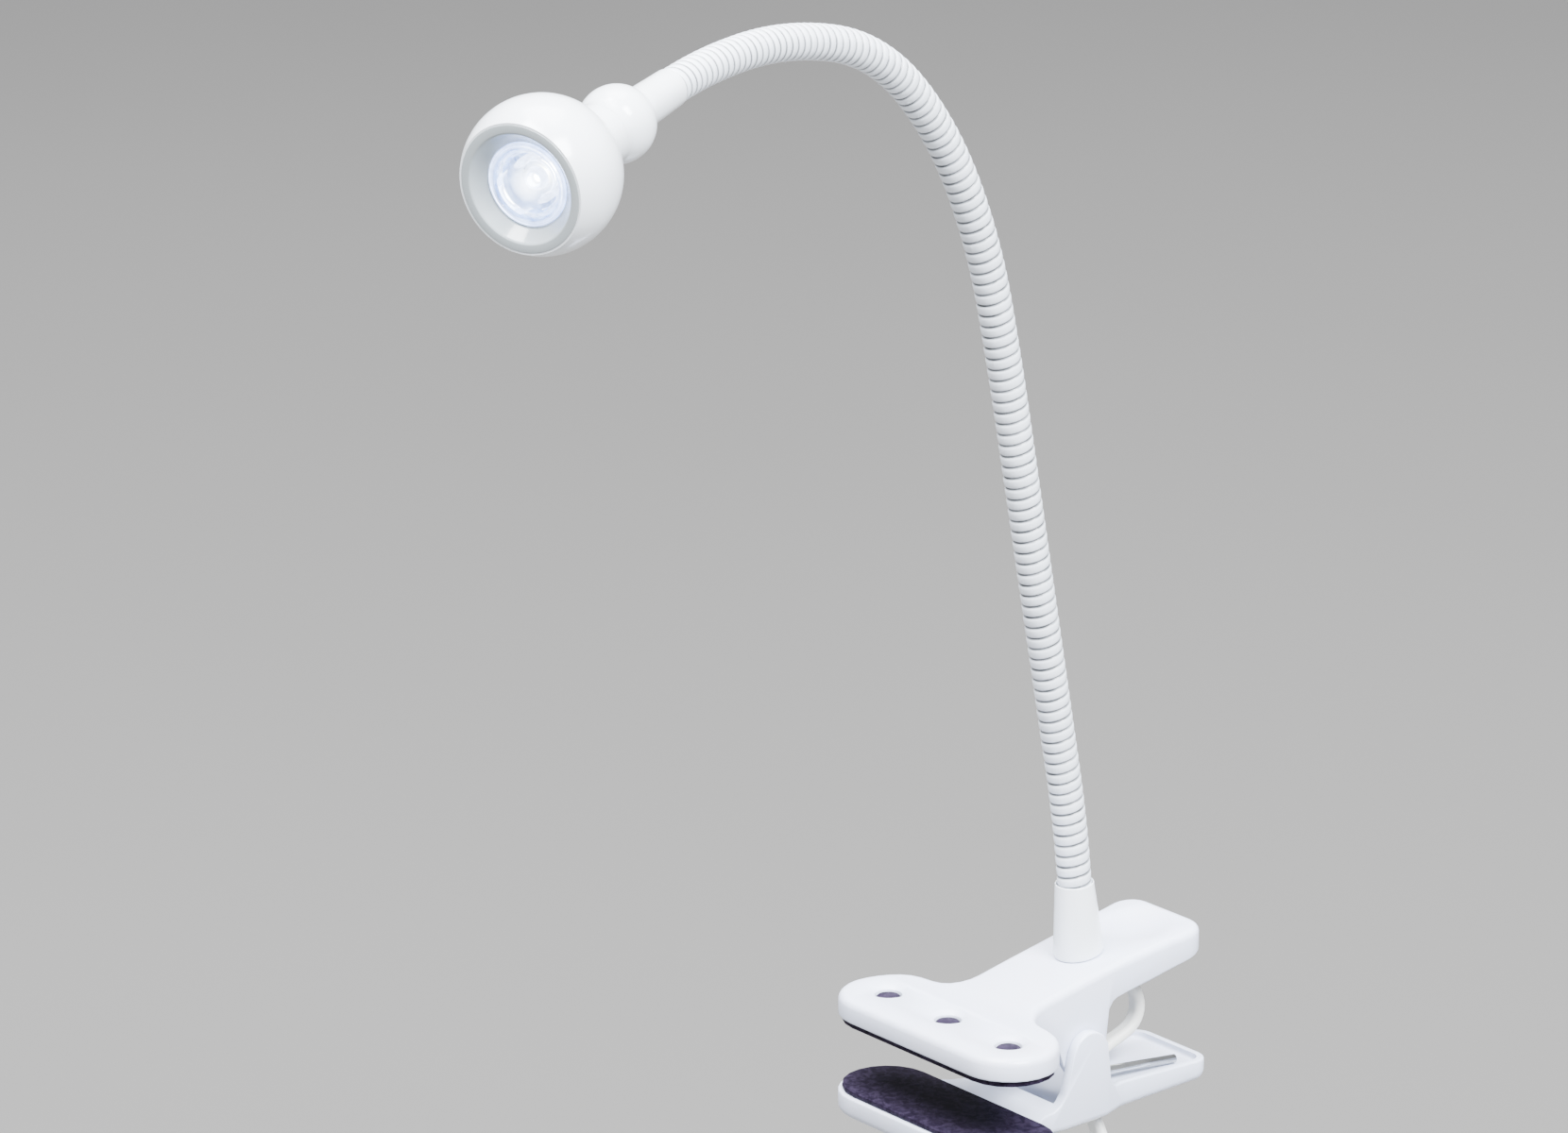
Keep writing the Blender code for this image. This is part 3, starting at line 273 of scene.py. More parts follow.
def plate(name, colour, mask, roughness=0.45):
    """A circuit board's lacquer, with a weave that shows faintly."""
    finish = Finish(name, colour, roughness)
    weave = finish.cells(0.7 * MM).rises(0.1, 0.5)
    patches = finish.grain(5 * MM).rises(0.5, 0.8)
    finish.set("Base Color", finish.mix(colour, mask, weave * 0.35 + patches * 0.3))
    finish.set("Roughness", roughness + weave * 0.08)
    finish.set("Normal", finish.relief(weave, 0.02 * MM, 0.3))
    return finish.material


def clear_lens():
    """Clear acrylic, lit from inside: white over the chip. Round it a pale blue emission with small brighter
    facets is a painted reflection, and the flange's rims carry a painted highlight.
    """
    finish = Finish("clear_lens", (0.95, 0.98, 1.0), 0.03,
                    transmission_weight=1.0, ior=1.49, emission_strength=1.0)
    ripple = finish.grain(1.2 * MM, 1.0)
    glow = finish.painted("glow")
    reflected_facets = finish.cells(2.0 * MM).rises(0.2, 0.6) * finish.grain(3.4 * MM, 1.0).rises(0.40, 0.56)
    # painted reflection: blue emission over the lens, brighter on the facets
    edge = finish.mix((0.05, 0.13, 0.45), (0.45, 0.66, 1.15), reflected_facets)
    finish.set("Emission Color", edge.mixed((5.0, 5.2, 5.4), glow))
    finish.set("Roughness", 0.015 + ripple * 0.03)
    finish.set("Normal", finish.relief(ripple, 0.01 * MM, 0.15))
    return finish.material


def phosphor():
    """The chip's yellow coat, lit: warm and cool grains."""
    finish = Finish("phosphor", (1.0, 0.93, 0.62), 0.35, emission_strength=40.0)
    grit = finish.grain(0.3 * MM, 3.0)
    finish.set("Base Color", finish.mix((1.0, 0.86, 0.42), (1.0, 0.95, 0.72), grit))
    finish.set("Emission Color", finish.mix((1.0, 0.95, 0.86), (0.93, 0.97, 1.0), grit))
    finish.set("Roughness", 0.3 + grit * 0.2)
    return finish.material


FINISHES = {
    "clip": moulded("clip_plastic", (0.66, 0.71, 0.86), 0.36, (0.69, 0.71, 0.83), 0.28 * MM,
                    coat_weight=0.12),
    # the hose's dark second colour is painted shade in the grooves between its turns
    "hose": enamelled("hose_paint", (0.84, 0.89, 0.97), (0.035, 0.04, 0.045), 0.26, "groove"),
    "enamel": enamelled("head_enamel", (0.84, 0.88, 0.93), None, 0.20),
    # painted shade: the bezel's own light grey is darkened here to stand in for the shade on its ring and
    # recess
    "bezel": moulded("bezel_plastic", (0.35, 0.39, 0.41), 0.20, (0.38, 0.41, 0.42), 0.2 * MM, speck=0.1,
                     coat_weight=0.4),
    "lens": clear_lens(),
    "white": moulded("white_plastic", (0.79, 0.80, 0.82), 0.40, (0.80, 0.79, 0.77), 0.3 * MM),
    # the holder's faint blue emission is painted light: it is no lamp
    "holder_painted_glow": moulded("holder_plastic", (0.42, 0.54, 0.80), 0.30, (0.48, 0.58, 0.82), 0.3 * MM, speck=0.1,
                         emission_color=(0.55, 0.75, 1.0, 1.0), emission_strength=0.12),
    "rubber": soft_rubber("pad_rubber", (0.008, 0.005, 0.014), (0.030, 0.022, 0.044), (0.003, 0.002, 0.007)),
    "spring": metal("spring_wire", (0.70, 0.71, 0.70), 0.16, (1.0, 0.12, 0.12), 0.9),
    "zinc": metal("zinc_plate", (0.66, 0.68, 0.72), 0.32, (1, 1, 1), 0.7),
    "aluminium": metal("turned_aluminium", (0.78, 0.79, 0.81), 0.30, (1, 1, 0.2)),
    "brass": metal("plated_brass", (0.80, 0.74, 0.58), 0.22, (1, 1, 0.15), 0.8),
    "cord": vinyl("ivory_vinyl", (0.86, 0.86, 0.82), (0.82, 0.80, 0.73)),
    "tie": moulded("tie_plastic", (0.055, 0.055, 0.06), 0.42, (0.07, 0.07, 0.075), 0.25 * MM, speck=0.1),
    "board": plate("white_board", (0.78, 0.79, 0.78), (0.68, 0.70, 0.70)),
    "resin": plate("green_board", (0.05, 0.22, 0.10), (0.09, 0.30, 0.15)),
    "ferrite": plate("ferrite_core", (0.06, 0.055, 0.055), (0.11, 0.10, 0.09), 0.6),
    "phosphor": phosphor(),
    "red": vinyl("red_wire", (0.50, 0.03, 0.02), (0.38, 0.03, 0.02)),
    "black": vinyl("black_wire", (0.018, 0.018, 0.018), (0.03, 0.03, 0.03)),
}


# Shapes


def piece(name, points, faces, finish, smooth=35, grooves=None):
    """A mesh with its finish, smooth but for edges sharper than the given angle."""
    mesh = bpy.data.meshes.new(name)
    mesh.from_pydata([tuple(point) for point in points], [], faces)
    mesh.materials.append(FINISHES[finish])
    if grooves:
        mesh.attributes.new("groove", "FLOAT", "POINT").data.foreach_set("value", grooves)
    made = bpy.data.objects.new(name, mesh)
    bpy.context.scene.collection.objects.link(made)
    mesh.shade_smooth()
    if smooth:
        mesh.set_sharp_from_angle(angle=radians(smooth))
    return made


def rings_joined(rings, closed):
    """Points and faces of a skin over rings of equal count. A closed one ends on its first ring."""
    count = len(rings[0])
    points = [point for ring in rings for point in ring]
    faces = []
    for k in range(len(rings) if closed else len(rings) - 1):
        low, high = k * count, (k + 1) % len(rings) * count
        faces += [(low + i, low + (i + 1) % count, high + (i + 1) % count, high + i) for i in range(count)]
    if not closed:
        faces += [tuple(range(count))[::-1], tuple(range((len(rings) - 1) * count, len(rings) * count))]
    return points, faces


def eased(profile, radius, steps=3):
    """A (radius, z) outline with its corners rounded. A point may give its own radius as a third number."""
    made = []
    count = len(profile)
    for k, (x, z, *own) in enumerate(profile):
        corner = Vector((x, z))
        before, after = Vector(profile[k - 1][:2]), Vector(profile[(k + 1) % count][:2])
        limit = own[0] if own else radius
        reach = min(limit, (before - corner).length * 0.45, (after - corner).length * 0.45)
        if x == 0 or reach < 1e-6:
            made.append(corner)
            continue
        start = corner + (before - corner).normalized() * reach
        end = corner + (after - corner).normalized() * reach
        for i in range(steps + 1):
            t = i / steps
            made.append(start * (1 - t) ** 2 + corner * 2 * t * (1 - t) + end * t * t)
    return made


def lathed(name, profile, finish, place, ease=0.25 * MM, sides=72, smooth=35):
    """A body turned about Z in place. Its outline (radius, z) is closed, and may touch the axis."""
    outline = eased(profile, ease) if ease else [Vector(point[:2]) for point in profile]
    rings = []
    for k in range(sides):
        turn = 2 * pi * k / sides
        rings.append([place @ Vector((max(r, 0) * cos(turn), max(r, 0) * sin(turn), z)) for r, z in outline])
    points, faces = rings_joined(rings, closed=True)
    made = piece(name, points, faces, finish, None)
    shell = bmesh.new()
    shell.from_mesh(made.data)
    bmesh.ops.remove_doubles(shell, verts=shell.verts, dist=1e-7)
    bmesh.ops.recalc_face_normals(shell, faces=shell.faces)
    shell.to_mesh(made.data)
    shell.free()
    made.data.shade_smooth()
    made.data.set_sharp_from_angle(angle=radians(smooth))
    return made


def welded_copy(node, name, finish, flatten=False):
    """A solid's own mesh as one smooth skin. flatten merges its triangles where they lie in one plane."""
    made = bpy.data.objects.new(name, frame["nodes"][node].data.copy())
    bpy.context.scene.collection.objects.link(made)
    shell = bmesh.new()
    shell.from_mesh(made.data)
    bmesh.ops.remove_doubles(shell, verts=shell.verts, dist=2e-6)
    if flatten:
        bmesh.ops.dissolve_limit(shell, angle_limit=radians(1), verts=shell.verts, edges=shell.edges)
    shell.to_mesh(made.data)
    shell.free()
    made.data.materials.clear()
    made.data.materials.append(FINISHES[finish])
    made.data.shade_smooth()
    return made


def refined(node, finish, bevel=0.25 * MM, angle=32, body=None):
    """A finer copy of a solid: its edges eased, smooth over its curves."""
    made = welded_copy(node, f"{node}_shape", finish, flatten=True)
    if bevel:
        ease = made.modifiers.new("ease", "BEVEL")
        ease.width = bevel
        ease.segments = 2
        ease.limit_method = "ANGLE"
        ease.angle_limit = radians(angle)
        ease.harden_normals = True
    made.data.set_sharp_from_angle(angle=radians(angle + 25 if bevel else angle))
    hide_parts(node)
    if body:
        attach(made, body)
    return made


def smooth_route(points, step):
    """Points along a smooth curve through the given ones, about step apart."""
    points = [Vector(point) for point in points]
    ends = [points[0] * 2 - points[1]] + points + [points[-1] * 2 - points[-2]]
    made = [points[0]]
    for a, b, c, d in zip(ends, ends[1:], ends[2:], ends[3:]):
        count = max(1, round((c - b).length / step))
        for k in range(1, count + 1):
            t = k / count
            made.append((b * 2 + (c - a) * t + (a * 2 - b * 5 + c * 4 - d) * t**2
                         + (b * 3 - a - c * 3 + d) * t**3) / 2)
    return made


def swept(name, route, section, finish, side, smooth=40):
    """A skin of one cross-section drawn along a route. side is the section's first direction at the start."""
    rings = []
    across = Vector(side)
    for k, point in enumerate(route):
        ahead = (route[min(k + 1, len(route) - 1)] - route[max(k - 1, 0)]).normalized()
        across = (across - ahead * across.dot(ahead)).normalized()
        up = ahead.cross(across)
        rings.append([point + across * u + up * v for u, v in section])
    points, faces = rings_joined(rings, closed=False)
    return piece(name, points, faces, finish, smooth)


def length_of(route):
    return sum((b - a).length for a, b in zip(route, route[1:]))


# Camera, light and floor


CAMERA_PLACE = (1.42071, -1.19212, 0.70560)
CAMERA_TURN = 51.471  # degrees about Z, from looking along +Y
CAMERA_DIP = 16.819  # degrees below level
CAMERA_LENS = 156.14  # for a frame 36 mm wide
LAMP_MIDDLE = Vector((0, -0.03, 0.14))
FLOOR_REACH = 9.0


def make_camera():
    azimuth, elevation = radians(CAMERA_TURN), radians(CAMERA_DIP)
    ahead = Vector((-sin(azimuth) * cos(elevation), cos(azimuth) * cos(elevation), -sin(elevation)))
    right = Vector((cos(azimuth), sin(azimuth), 0))
    camera = bpy.data.objects.new("camera", bpy.data.cameras.new("camera"))
    bpy.context.scene.collection.objects.link(camera)
    camera.matrix_world = Matrix((right, right.cross(ahead), -ahead)).transposed().to_4x4()
    camera.location = CAMERA_PLACE
    camera.data.lens = CAMERA_LENS
    camera.data.sensor_width = 36
    camera.data.clip_end = 30
    bpy.context.scene.camera = camera
    return right, ahead


def make_light(name, towards, distance, size, power, colour=(1, 1, 1)):
    """A square soft light that faces the lamp. towards is its direction as seen from the lamp."""
    lamp = bpy.data.objects.new(name, bpy.data.lights.new(name, "AREA"))
    bpy.context.scene.collection.objects.link(lamp)
    lamp.data.size = size
    lamp.data.energy = power
    lamp.data.color = colour
    lamp.location = LAMP_MIDDLE + Vector(towards).normalized() * distance
    lamp.rotation_euler = (LAMP_MIDDLE - lamp.location).to_track_quat("-Z", "Y").to_euler()


def make_stage():
    """A plain pale floor just under the lowest point."""
    level = cad_box[0][2] - 1 * MM
    corners = [(x * FLOOR_REACH, y * FLOOR_REACH, level) for x, y in ((-1, -1), (1, -1), (1, 1), (-1, 1))]
    floor = Finish("studio_floor", (0.105, 0.103, 0.100), 0.85)
    floor.set("Base Color", floor.mix((0.101, 0.099, 0.096), (0.109, 0.107, 0.104), floor.grain(0.6, 2.0)))
    FINISHES["floor"] = floor.material
    piece("studio_floor", corners, [(0, 1, 2, 3)], "floor", None)


right, ahead = make_camera()
make_stage()
up = right.cross(ahead)
make_light("key", -right * 0.45 + up * 1.25 - ahead * 0.75, 3.0, 1.4, 360, (0.97, 0.98, 1.0))
make_light("fill", right * 0.55 + up * 0.75 - ahead * 1.0, 3.6, 1.6, 700, (0.94, 0.97, 1.0))
make_light("top", Vector((0, 0, 1)) + ahead * 0.25, 3.2, 2.0, 220)
world = bpy.data.worlds.new("studio")
world.use_nodes = True
world.node_tree.nodes["Background"].inputs["Color"].default_value = (0.93, 0.95, 1.0, 1)
world.node_tree.nodes["Background"].inputs["Strength"].default_value = 0.68
bpy.context.scene.world = world


# Cord: a flat twin lead

CORD_WIDE = 5.5 * MM
CORD_THICK = 3.5 * MM
LOOP_ROUTE = (
    (0.0, 0.0591, 0.0061), (0.0, 0.0638, 0.0062), (0.0003, 0.0680, 0.0045),
    (0.0006, 0.0710, 0.0014),
    (0.0008, 0.0725, -0.0028), (0.0009, 0.0722, -0.0070), (0.0008, 0.0696, -0.0106),
    (0.0006, 0.0654, -0.0128), (0.0004, 0.0608, -0.0146), (0.0002, 0.0568, -0.0176),
    (0.0, 0.0546, -0.0220), (0.0, 0.0541, -0.0262),
)
LEAD_ROUTE = (
    (0.0, 0.0541, -0.0268), (0.0004, 0.0542, -0.0300), (0.0025, 0.0542, -0.0345),
    (0.0056, 0.0540, -0.0390), (0.0088, 0.0535, -0.0436), (0.0118, 0.0529, -0.0484),
    (0.0144, 0.0524, -0.0524), (0.0180, 0.0521, -0.0575),
)
COIL_CENTRE = Vector((0.0, 0.057, -0.0915))
COIL_MEAN = 32 * MM
COIL_ROWS = 4
ROW_STEP = CORD_THICK
COIL_START = 45  # degrees
COIL_SWEEP = 2815  # degrees, a little under eight turns
TURN_HELD = 0.84  # share of each turn before the cord moves over to the next one's place
TAIL_ROUTE = (
    (0.0060, 0.0682, -0.0560), (0.0086, 0.0690, -0.0575), (0.0116, 0.0710, -0.0615),
    (0.0129, 0.0727, -0.0664), (0.0132, 0.0732, -0.0710), (0.0132, 0.0732, -0.0900),
    (0.0132, 0.0732, -0.1090), (0.0132, 0.0732, -0.1276), (0.0132, 0.0732, -0.1349),
)


CORD_RIDERS = (
    ("switch_cover", "white", 0.3), ("switch_base", "white", 0.3),
    ("switch_screw_1", "zinc", 0.1), ("switch_screw_2", "zinc", 0.1),
    ("plug_relief", "white", 0.3), ("plug_cover", "white", 0.3), ("plug_case", "white", 0.3),
    ("plug_pin_1", "brass", 0.3), ("plug_pin_2", "brass", 0.3),
    ("driver_board", "resin", 0.1), ("driver_transformer", "ferrite", 0.2), ("cord_tie", "tie", 0.2),
)  # each piece on the cord, its finish and the rounding of its edges in millimetres


def twin_section():
    """Two round cores side by side under one jacket, with a valley between them."""
    core = CORD_THICK / 2
    apart = CORD_WIDE / 2 - core
    half = []
    for k in range(9):
        turn = -pi / 2 + pi * k / 8
        half.append((apart + core * cos(turn), core * sin(turn)))
    valley = core * 0.84
    return half + [(0, valley)] + [(-u, v) for u, v in reversed(half)] + [(0, -valley)]


def coil_route(step):
    """Turns side by side in two columns, clockwise: out, in, next row in, out, and so on."""
    cells = []
    for row in range(COIL_ROWS):
        columns = (1, -1) if row % 2 == 0 else (-1, 1)
        cells += [(column * CORD_WIDE / 2, (row - (COIL_ROWS - 1) / 2) * ROW_STEP) for column in columns]
    route = []
    travelled = 0.0
    while travelled <= COIL_SWEEP:
        turns = travelled / 360
        cell = min(int(turns), len(cells) - 1)
        after = min(cell + 1, len(cells) - 1)
        shift = max(0.0, (turns - cell - TURN_HELD) / (1 - TURN_HELD)) if cell < len(cells) - 1 else 0.0
        shift = shift * shift * (3 - 2 * shift)
        out = cells[cell][0] * (1 - shift) + cells[after][0] * shift
        depth = cells[cell][1] * (1 - shift) + cells[after][1] * shift
        turn = radians(COIL_START - travelled)
        reach = COIL_MEAN + out
        route.append(COIL_CENTRE + Vector((reach * cos(turn), depth, reach * sin(turn))))
        travelled += step
    return route


def make_cord():
    """A short loop between the handles, and one line from the lower handle by the coil to the plug."""
    loop = smooth_route(LOOP_ROUTE, 1.6 * MM)
    cord_loop = swept("cord_loop_flex", loop, twin_section(), "cord", (1, 0, 0))
    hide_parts("cord_loop")
    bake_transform(cord_loop)
    length_of(loop)
    line = smooth_route([*LEAD_ROUTE, *coil_route(6)[2:], *TAIL_ROUTE], 2.6 * MM)
    lead = swept("cord_lead_flex", line, twin_section(), "cord", (1, 0, 0))
    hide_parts("cord_lead", "cord_coil", "cord_tail", "cord_end")
    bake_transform(lead)
    riders = [refined(node, finish, bevel * MM, body=CLIP) for node, finish, bevel in CORD_RIDERS]
    riders.append(refined("switch_rocker", "white", 0.3 * MM, body="switch_rocker"))
    length_of(line)


make_cord()


# Neck: a hose wound from one strip

BENDS = (
    (7.7, 2.7), (0, 0), (0, 0), (0, 0), (2.6, 1.0),
    (9.6, -1.75), (19.0, 4.6), (30.9, 6.6), (13.6, 8.05), (6.05, 7.75),
)  # of each link, forwards and sideways, in degrees
LINK = 38.15 * MM
HOSE = 5.0 * MM
PITCH_FOOT = 3.46 * MM
PITCH_HEAD = 2.72 * MM
IN_COLLAR = 3.2 * MM  # how far the hose goes on inside the head's collar
UNDER_FERRULE = 4.0 * MM  # and how far it starts below the ferrule's top
NECK_LEAN = 5  # degrees, at the ferrule
HOSE_SIDES = 30
TURN_OUTLINE = (
    (0.0, -0.36), (0.065, -0.33), (0.10, -0.12), (0.17, -0.01), (0.36, 0.06),
    (0.62, 0.10), (0.83, 0.03), (0.90, -0.12), (0.935, -0.33), (1.0, -0.36),
)  # share of the pitch, and millimetres over the hose's radius


def neck_start():
    """Frame at the ferrule's top, from the first link's joints: Z along the hose."""
    first = next(joint for joint in frame["joints"] if joint["name"] == "neck_bend_1")
    foot = Matrix.Rotation(radians(NECK_LEAN), 4, "X")
    tip = arc_step(foot, LINK, *BENDS[0]).translation
    return Matrix.Translation(Vector(first["pos_m"]) - tip) @ foot


def arc_step(place, part, down, aside):
    """Frame a distance further along a link that bends by the given angles over its length."""
    turn = radians(hypot(down, aside)) * part / LINK
    ahead = Vector((0, 0, 1))
    if abs(turn) < 1e-7:
        return place @ Matrix.Translation(ahead * part)
    axis = Vector((down, aside, 0)).normalized()
    shift = (axis.cross(ahead) * (1 - cos(turn)) + ahead * sin(turn)) * part / turn
    return place @ Matrix.Translation(shift) @ Matrix.Rotation(turn, 4, axis)


STARTS = [neck_start()]
for bend in BENDS:
    STARTS.append(arc_step(STARTS[-1], LINK, *bend))


def neck_at(length):
    """Frame at a distance along the hose from the ferrule's top."""
    if length <= 0:
        return STARTS[0] @ Matrix.Translation((0, 0, length))
    link = min(int(length / LINK), len(BENDS) - 1)
    return arc_step(STARTS[link], length - link * LINK, *BENDS[link])


def turns_along():
    """Where each turn of the strip starts. They lie closer in the bent stretch towards the head."""
    whole = LINK * len(BENDS)
    starts = [-UNDER_FERRULE]
    while starts[-1] < whole + IN_COLLAR:
        share = min(1.0, max(0.0, starts[-1] / whole / 0.34 - 1.62))
        starts.append(starts[-1] + PITCH_FOOT + (PITCH_HEAD - PITCH_FOOT) * share * share * (3 - 2 * share))
    return starts


def make_hose():
    """The wound strip, in one length for each joint."""
    turns = turns_along()

    def row_along(row):
        turn, part = min(row // HOSE_SIDES, len(turns) - 2), row / HOSE_SIDES
        return turns[turn] + (turns[turn + 1] - turns[turn]) * (part - turn)

    last_row = (len(turns) - 3) * HOSE_SIDES
    middles = [(k + 0.5) * LINK for k in range(1, len(BENDS) - 1)]
    between = [next(row for row in range(last_row) if row_along(row) >= middle) for middle in middles]
    cuts = [0, *between, last_row]
    for k, (start, end) in enumerate(zip(cuts, cuts[1:])):
        points, grooves = [], []
        for row in range(start, end + 1):
            turn = 2 * pi * row / HOSE_SIDES
            for along, rise in TURN_OUTLINE:
                place = neck_at(row_along(row) * (1 - along) + row_along(row + HOSE_SIDES) * along)
                radius = HOSE + rise * MM
                points.append(place @ Vector((radius * cos(turn), radius * sin(turn), 0)))
                # how deep each point lies in a groove; the hose's finish paints shade there
                grooves.append(min(1.0, max(0.0, (-rise - 0.03) / 0.12)))
        count = len(TURN_OUTLINE)
        faces = []
        for row in range(end - start):
            for j in range(count - 1):
                a = row * count + j
                faces.append((a, a + count, a + count + 1, a + 1))
        hose = piece(f"hose_{k + 1}", points, faces, "hose", None, grooves)
        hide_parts(*([f"neck_link_{k + 1}"] if k else ["neck_link_0", "neck_link_1"]))
        parent = CLIP if k == 0 else f"neck_{k}"
        near, far = neck_at((k + 0.5) * LINK).translation, neck_at((k + 1.5) * LINK).translation
        f"neck_{k + 1}"
        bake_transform(hose)


make_hose()
FERRULE_HIGH = 22.2
FERRULE_START = 19.4  # its foot, below the first bend
FERRULE_BORE = 5.32
FERRULE_FOOT = 7.5
FERRULE_RIM = 5.8


def scaled(profile):
    """An outline given in millimetres, in metres."""
    return [tuple(value * MM for value in point) for point in profile]


def make_ferrule():
    """The sleeve at the hose's foot. Its base leans with the arm under it."""
    profile = [(FERRULE_BORE, 0.2), (FERRULE_FOOT - 0.05, 0.0), (FERRULE_FOOT, 0.8),
               (FERRULE_RIM, FERRULE_HIGH - 0.3), (FERRULE_RIM - 0.25, FERRULE_HIGH),
               (FERRULE_BORE, FERRULE_HIGH - 0.3)]
    made = lathed("ferrule_sleeve", scaled(profile), "enamel", Matrix())
    high = FERRULE_HIGH * MM
    slope = (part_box("ferrule")[1][2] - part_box("ferrule")[0][2] - high) / (2 * FERRULE_FOOT * MM)
    for vertex in made.data.vertices:
        vertex.co.z += vertex.co.y * slope * (1 - vertex.co.z / high)
    made.data.transform(neck_at(0) @ Matrix.Translation((0, 0, -FERRULE_START * MM)))
    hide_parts("ferrule")
    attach(made, CLIP)


make_ferrule()
for node, bevel in (("neck_stud", 0.15), ("stud_washer", 0.15), ("stud_nut", 0.3)):
    refined(node, "zinc", bevel * MM, body=CLIP)
refined("cord_bush", "white", 0.3 * MM, body=CLIP)


# Clip

for node, body in (("upper_jaw", CLIP), ("lower_jaw", JAW)):
    refined(node, "clip", 0.18 * MM, 40, body)
refined("upper_pad", "rubber", 0.3 * MM, body=CLIP)
refined("lower_pad", "rubber", 0.3 * MM, body=JAW)
refined("pivot_pin", "spring", 0.15 * MM, body=CLIP)


def make_spring():
    """Wire: upper leg, coil round the pin, lower leg."""
    made = welded_copy("torsion_spring", "spring_wire", "spring")
    made.data.set_sharp_from_angle(angle=radians(60))
    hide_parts("torsion_spring")
    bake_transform(made)


make_spring()


# Head, turned about its own axis: 0 at the large ball's centre, + towards the light, in millimetres

BALL = 20.9
FRONT = 11.1
WALL = 1.8
WAIST = 8.5
SEAM = -29.6
SEAM_GAP = 0.06
REAR = 10.5
REAR_AT = -38.6
COLLAR = 5.9
COLLAR_END = -66.5
COLLAR_MOUTH = 5.16  # takes the hose's end
COLLAR_BORE = 4.1
STUD_BORE = 4.9
WIRE_BORE = 2.0
LIP = 0.45  # the shell's rim round the bezel
RIM_DROP = 0.12  # that rim below the bezel's face
# the lens flange's rims, out from this radius and above this height, carry a painted highlight
LENS_FLANGE = 9.8
FLANGE_FROM = 7.0
CHIP_GLOW = 4.6
HEAD_PARTS = (
    ("lens_holder", "holder_painted_glow", 0), ("led_board", "board", 0.1), ("led_chip", "phosphor", 0.1),
    ("heat_sink", "aluminium", 0.15), ("board_screw_1", "zinc", 0.1), ("board_screw_2", "zinc", 0.1),
    ("head_stud", "aluminium", 0.15), ("lead_red", "red", 0), ("lead_black", "black", 0),
)  # each piece inside, its finish and the rounding of its edges
head = neck_at(LINK * len(BENDS)) @ Matrix.Translation((0, 0, -COLLAR_END * MM))


def ball(radius, first, last, steps, centre=0.0):
    """Points on a ball, between two heights over its centre."""
    a, b = acos(first / radius), acos(last / radius)
    return [(radius * sin(a + (b - a) * k / steps), centre + radius * cos(a + (b - a) * k / steps))
            for k in range(steps + 1)]


def on_head(made, node):
    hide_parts(node)
    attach(made, HEAD)


def make_shell(seat, inner, lip):
    neck = sqrt(BALL**2 - WAIST**2)
    bore_at = sqrt(inner**2 - STUD_BORE**2)
    outline = ball(BALL, FRONT - RIM_DROP, -neck + 0.6, 44)
    outline += [(WAIST + 0.35, -neck - 0.25), (WAIST + 0.08, -neck - 0.9), (WAIST, -neck - 1.6)]
    outline += [(WAIST, SEAM, 0.08), (STUD_BORE, SEAM), (STUD_BORE, -bore_at)]
    outline += ball(inner, seat, -bore_at, 24)[-2::-1] + [(lip, seat), (lip, FRONT - RIM_DROP)]
    on_head(lathed("head_shell_body", scaled(outline), "enamel", head, 0, 96), "head_shell")


def make_rear_ball():
    """The small ball behind the seam, and the collar that takes the hose."""
    joint = SEAM - SEAM_GAP
    waist_high = sqrt(REAR**2 - WAIST**2)
    collar_high = sqrt(REAR**2 - COLLAR**2)
    outline = [(4.8, joint), (WAIST, joint, 0.08)]
    outline += [(WAIST, REAR_AT + waist_high + 0.9), (WAIST + 0.12, REAR_AT + waist_high + 0.2)]
    outline += ball(REAR, waist_high - 0.35, -collar_high + 0.5, 26, REAR_AT)
    outline += [(COLLAR + 0.1, REAR_AT - collar_high - 0.35), (COLLAR - 0.02, REAR_AT - collar_high - 1.2)]
    outline += [(5.42, COLLAR_END, 0.15), (COLLAR_MOUTH, COLLAR_END, 0.1), (COLLAR_MOUTH, COLLAR_END + 3.8)]
    outline += [(COLLAR_BORE, COLLAR_END + 3.8), (COLLAR_BORE, COLLAR_END + 11)]
    outline += [(WIRE_BORE, COLLAR_END + 11), (WIRE_BORE, joint - 7.5), (4.8, joint - 7.5)]
    on_head(lathed("rear_ball_body", scaled(outline), "enamel", head, 0, 72), "rear_ball")


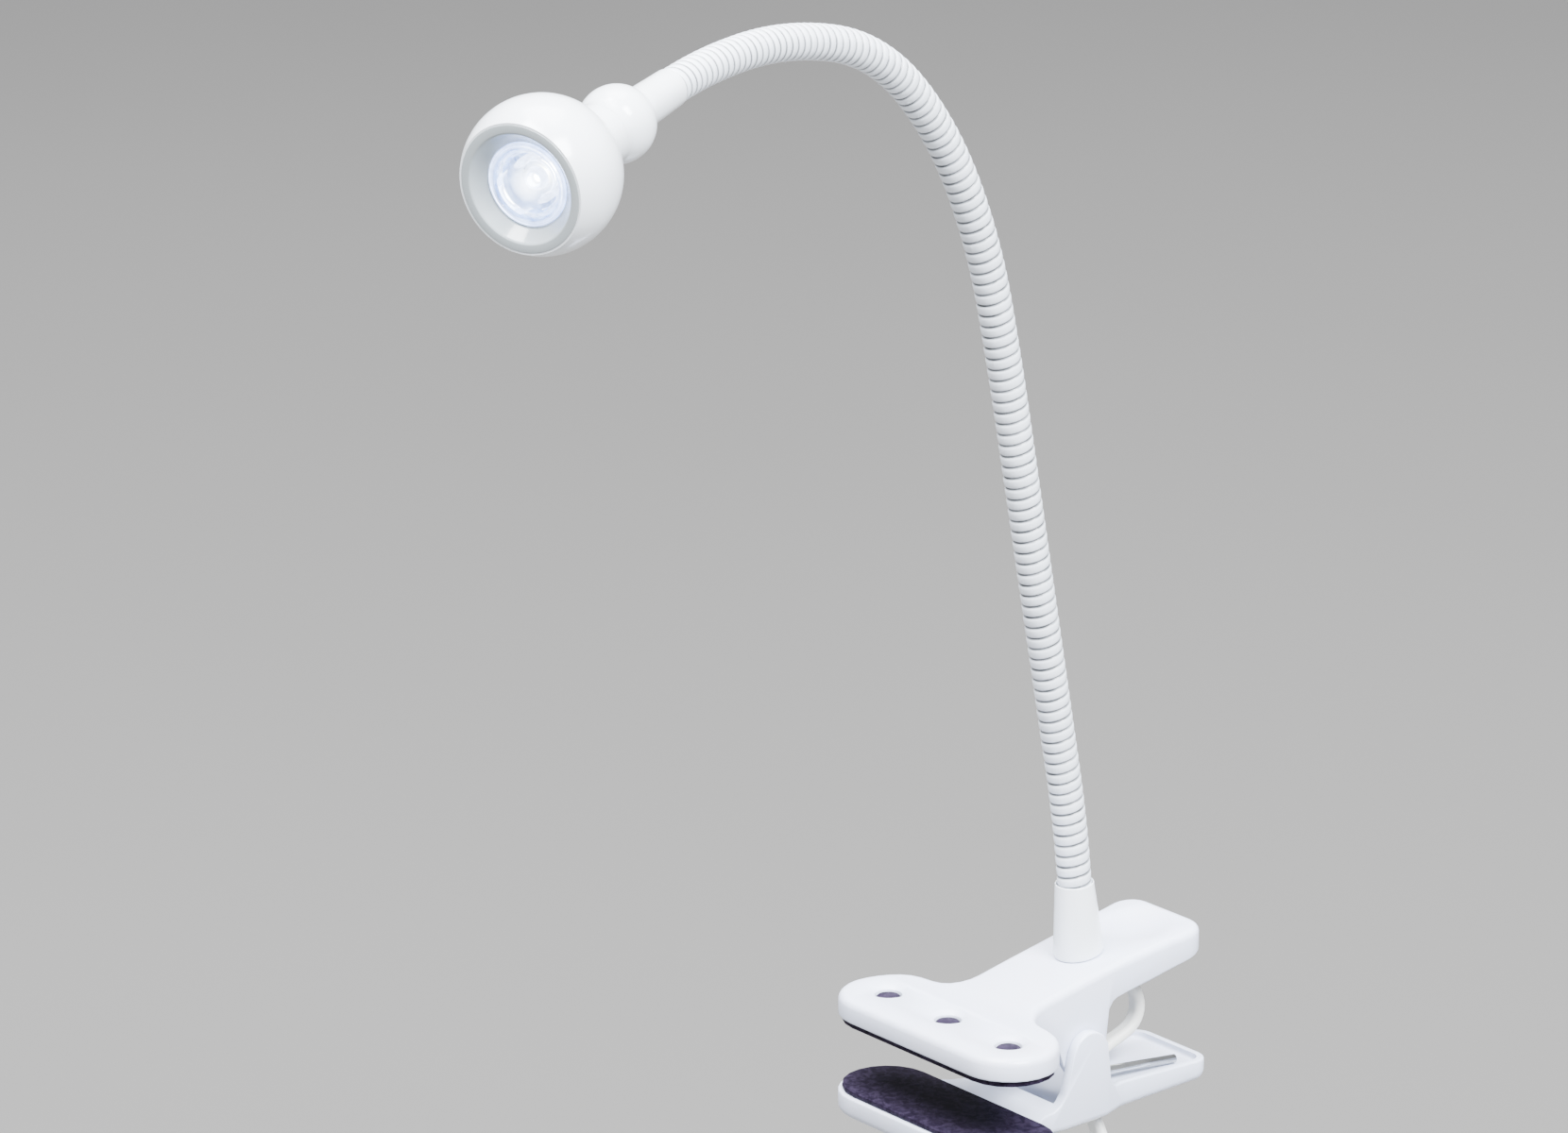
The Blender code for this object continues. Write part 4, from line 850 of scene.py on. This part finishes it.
def make_bezel(seat, inner, lip):
    """Ring with a cone down to the lens, and a skirt that plugs into the shell."""
    plug = sqrt(inner**2 - seat**2) - 0.3
    outline = [(lip - 0.03, FRONT, 0.12), (lip - 2.2, FRONT - 0.02, 0.18), (lip - 2.6, FRONT - 0.35, 0.15)]
    outline += [(11.9, 7.5, 0.3), (11.4, 7.2, 0.2), (11.4, 6.4)]
    outline += [(plug - 1.6, 4.8), (plug - 1.6, 2.8), (plug - 0.6, 2.8), (plug, seat - 0.6)]
    outline += [(plug, seat + 0.1), (lip - 0.03, seat + 0.1, 0.1)]
    on_head(lathed("bezel_ring", scaled(outline), "bezel", head, 0.2 * MM, 96), "bezel")


def make_lens():
    """A domed face inside two thin raised rims, over a cone that narrows to the chip."""
    face = [(0, 8.25), (2.4, 8.22), (4.6, 8.15), (6.7, 8.05), (9.7, 7.7)]
    rims = [(9.9, 8.0, 0.1), (10.3, 8.0, 0.1), (10.5, 7.5, 0.1), (10.8, 7.5, 0.1), (10.9, 7.75, 0.1)]
    edge = [(11.2, 7.7, 0.1), (11.25, 6.4, 0.1), (9.3, 6.4, 0.2)]
    cone = [(8.4, 3.4), (7.4, 1.9), (6.3, 0.8), (5.2, -0.5), (4.2, -1.6, 0.1)]
    over_chip = [(3.0, -1.6, 0.1), (2.6, 0.6), (2.3, 2.2), (1.4, 3.0), (0, 3.2)]
    body = lathed("lens_body", scaled(face + rims + edge + cone + over_chip), "lens", head)
    inwards = head.inverted()
    glow = []
    for vertex in body.data.vertices:
        point = (inwards @ vertex.co) / MM
        reach = hypot(point.x, point.y)
        # 0.22 on the flange's rims is a painted highlight; nearer the middle the lit chip's glow falls off
        # outwards
        on_flange = reach > LENS_FLANGE and point.z > FLANGE_FROM
        glow.append(0.22 if on_flange else max(0.0, 1 - reach / CHIP_GLOW) ** 0.8)
    body.data.attributes.new("glow", "FLOAT", "POINT").data.foreach_set("value", glow)
    on_head(body, "lens")


def make_head():
    seat = FRONT - WALL
    inner = BALL - WALL
    lip = sqrt(BALL**2 - FRONT**2) - LIP
    make_shell(seat, inner, lip)
    make_rear_ball()
    make_bezel(seat, inner, lip)
    make_lens()
    for node, finish, bevel in HEAD_PARTS:
        refined(node, finish, bevel * MM, body=HEAD)


make_head()
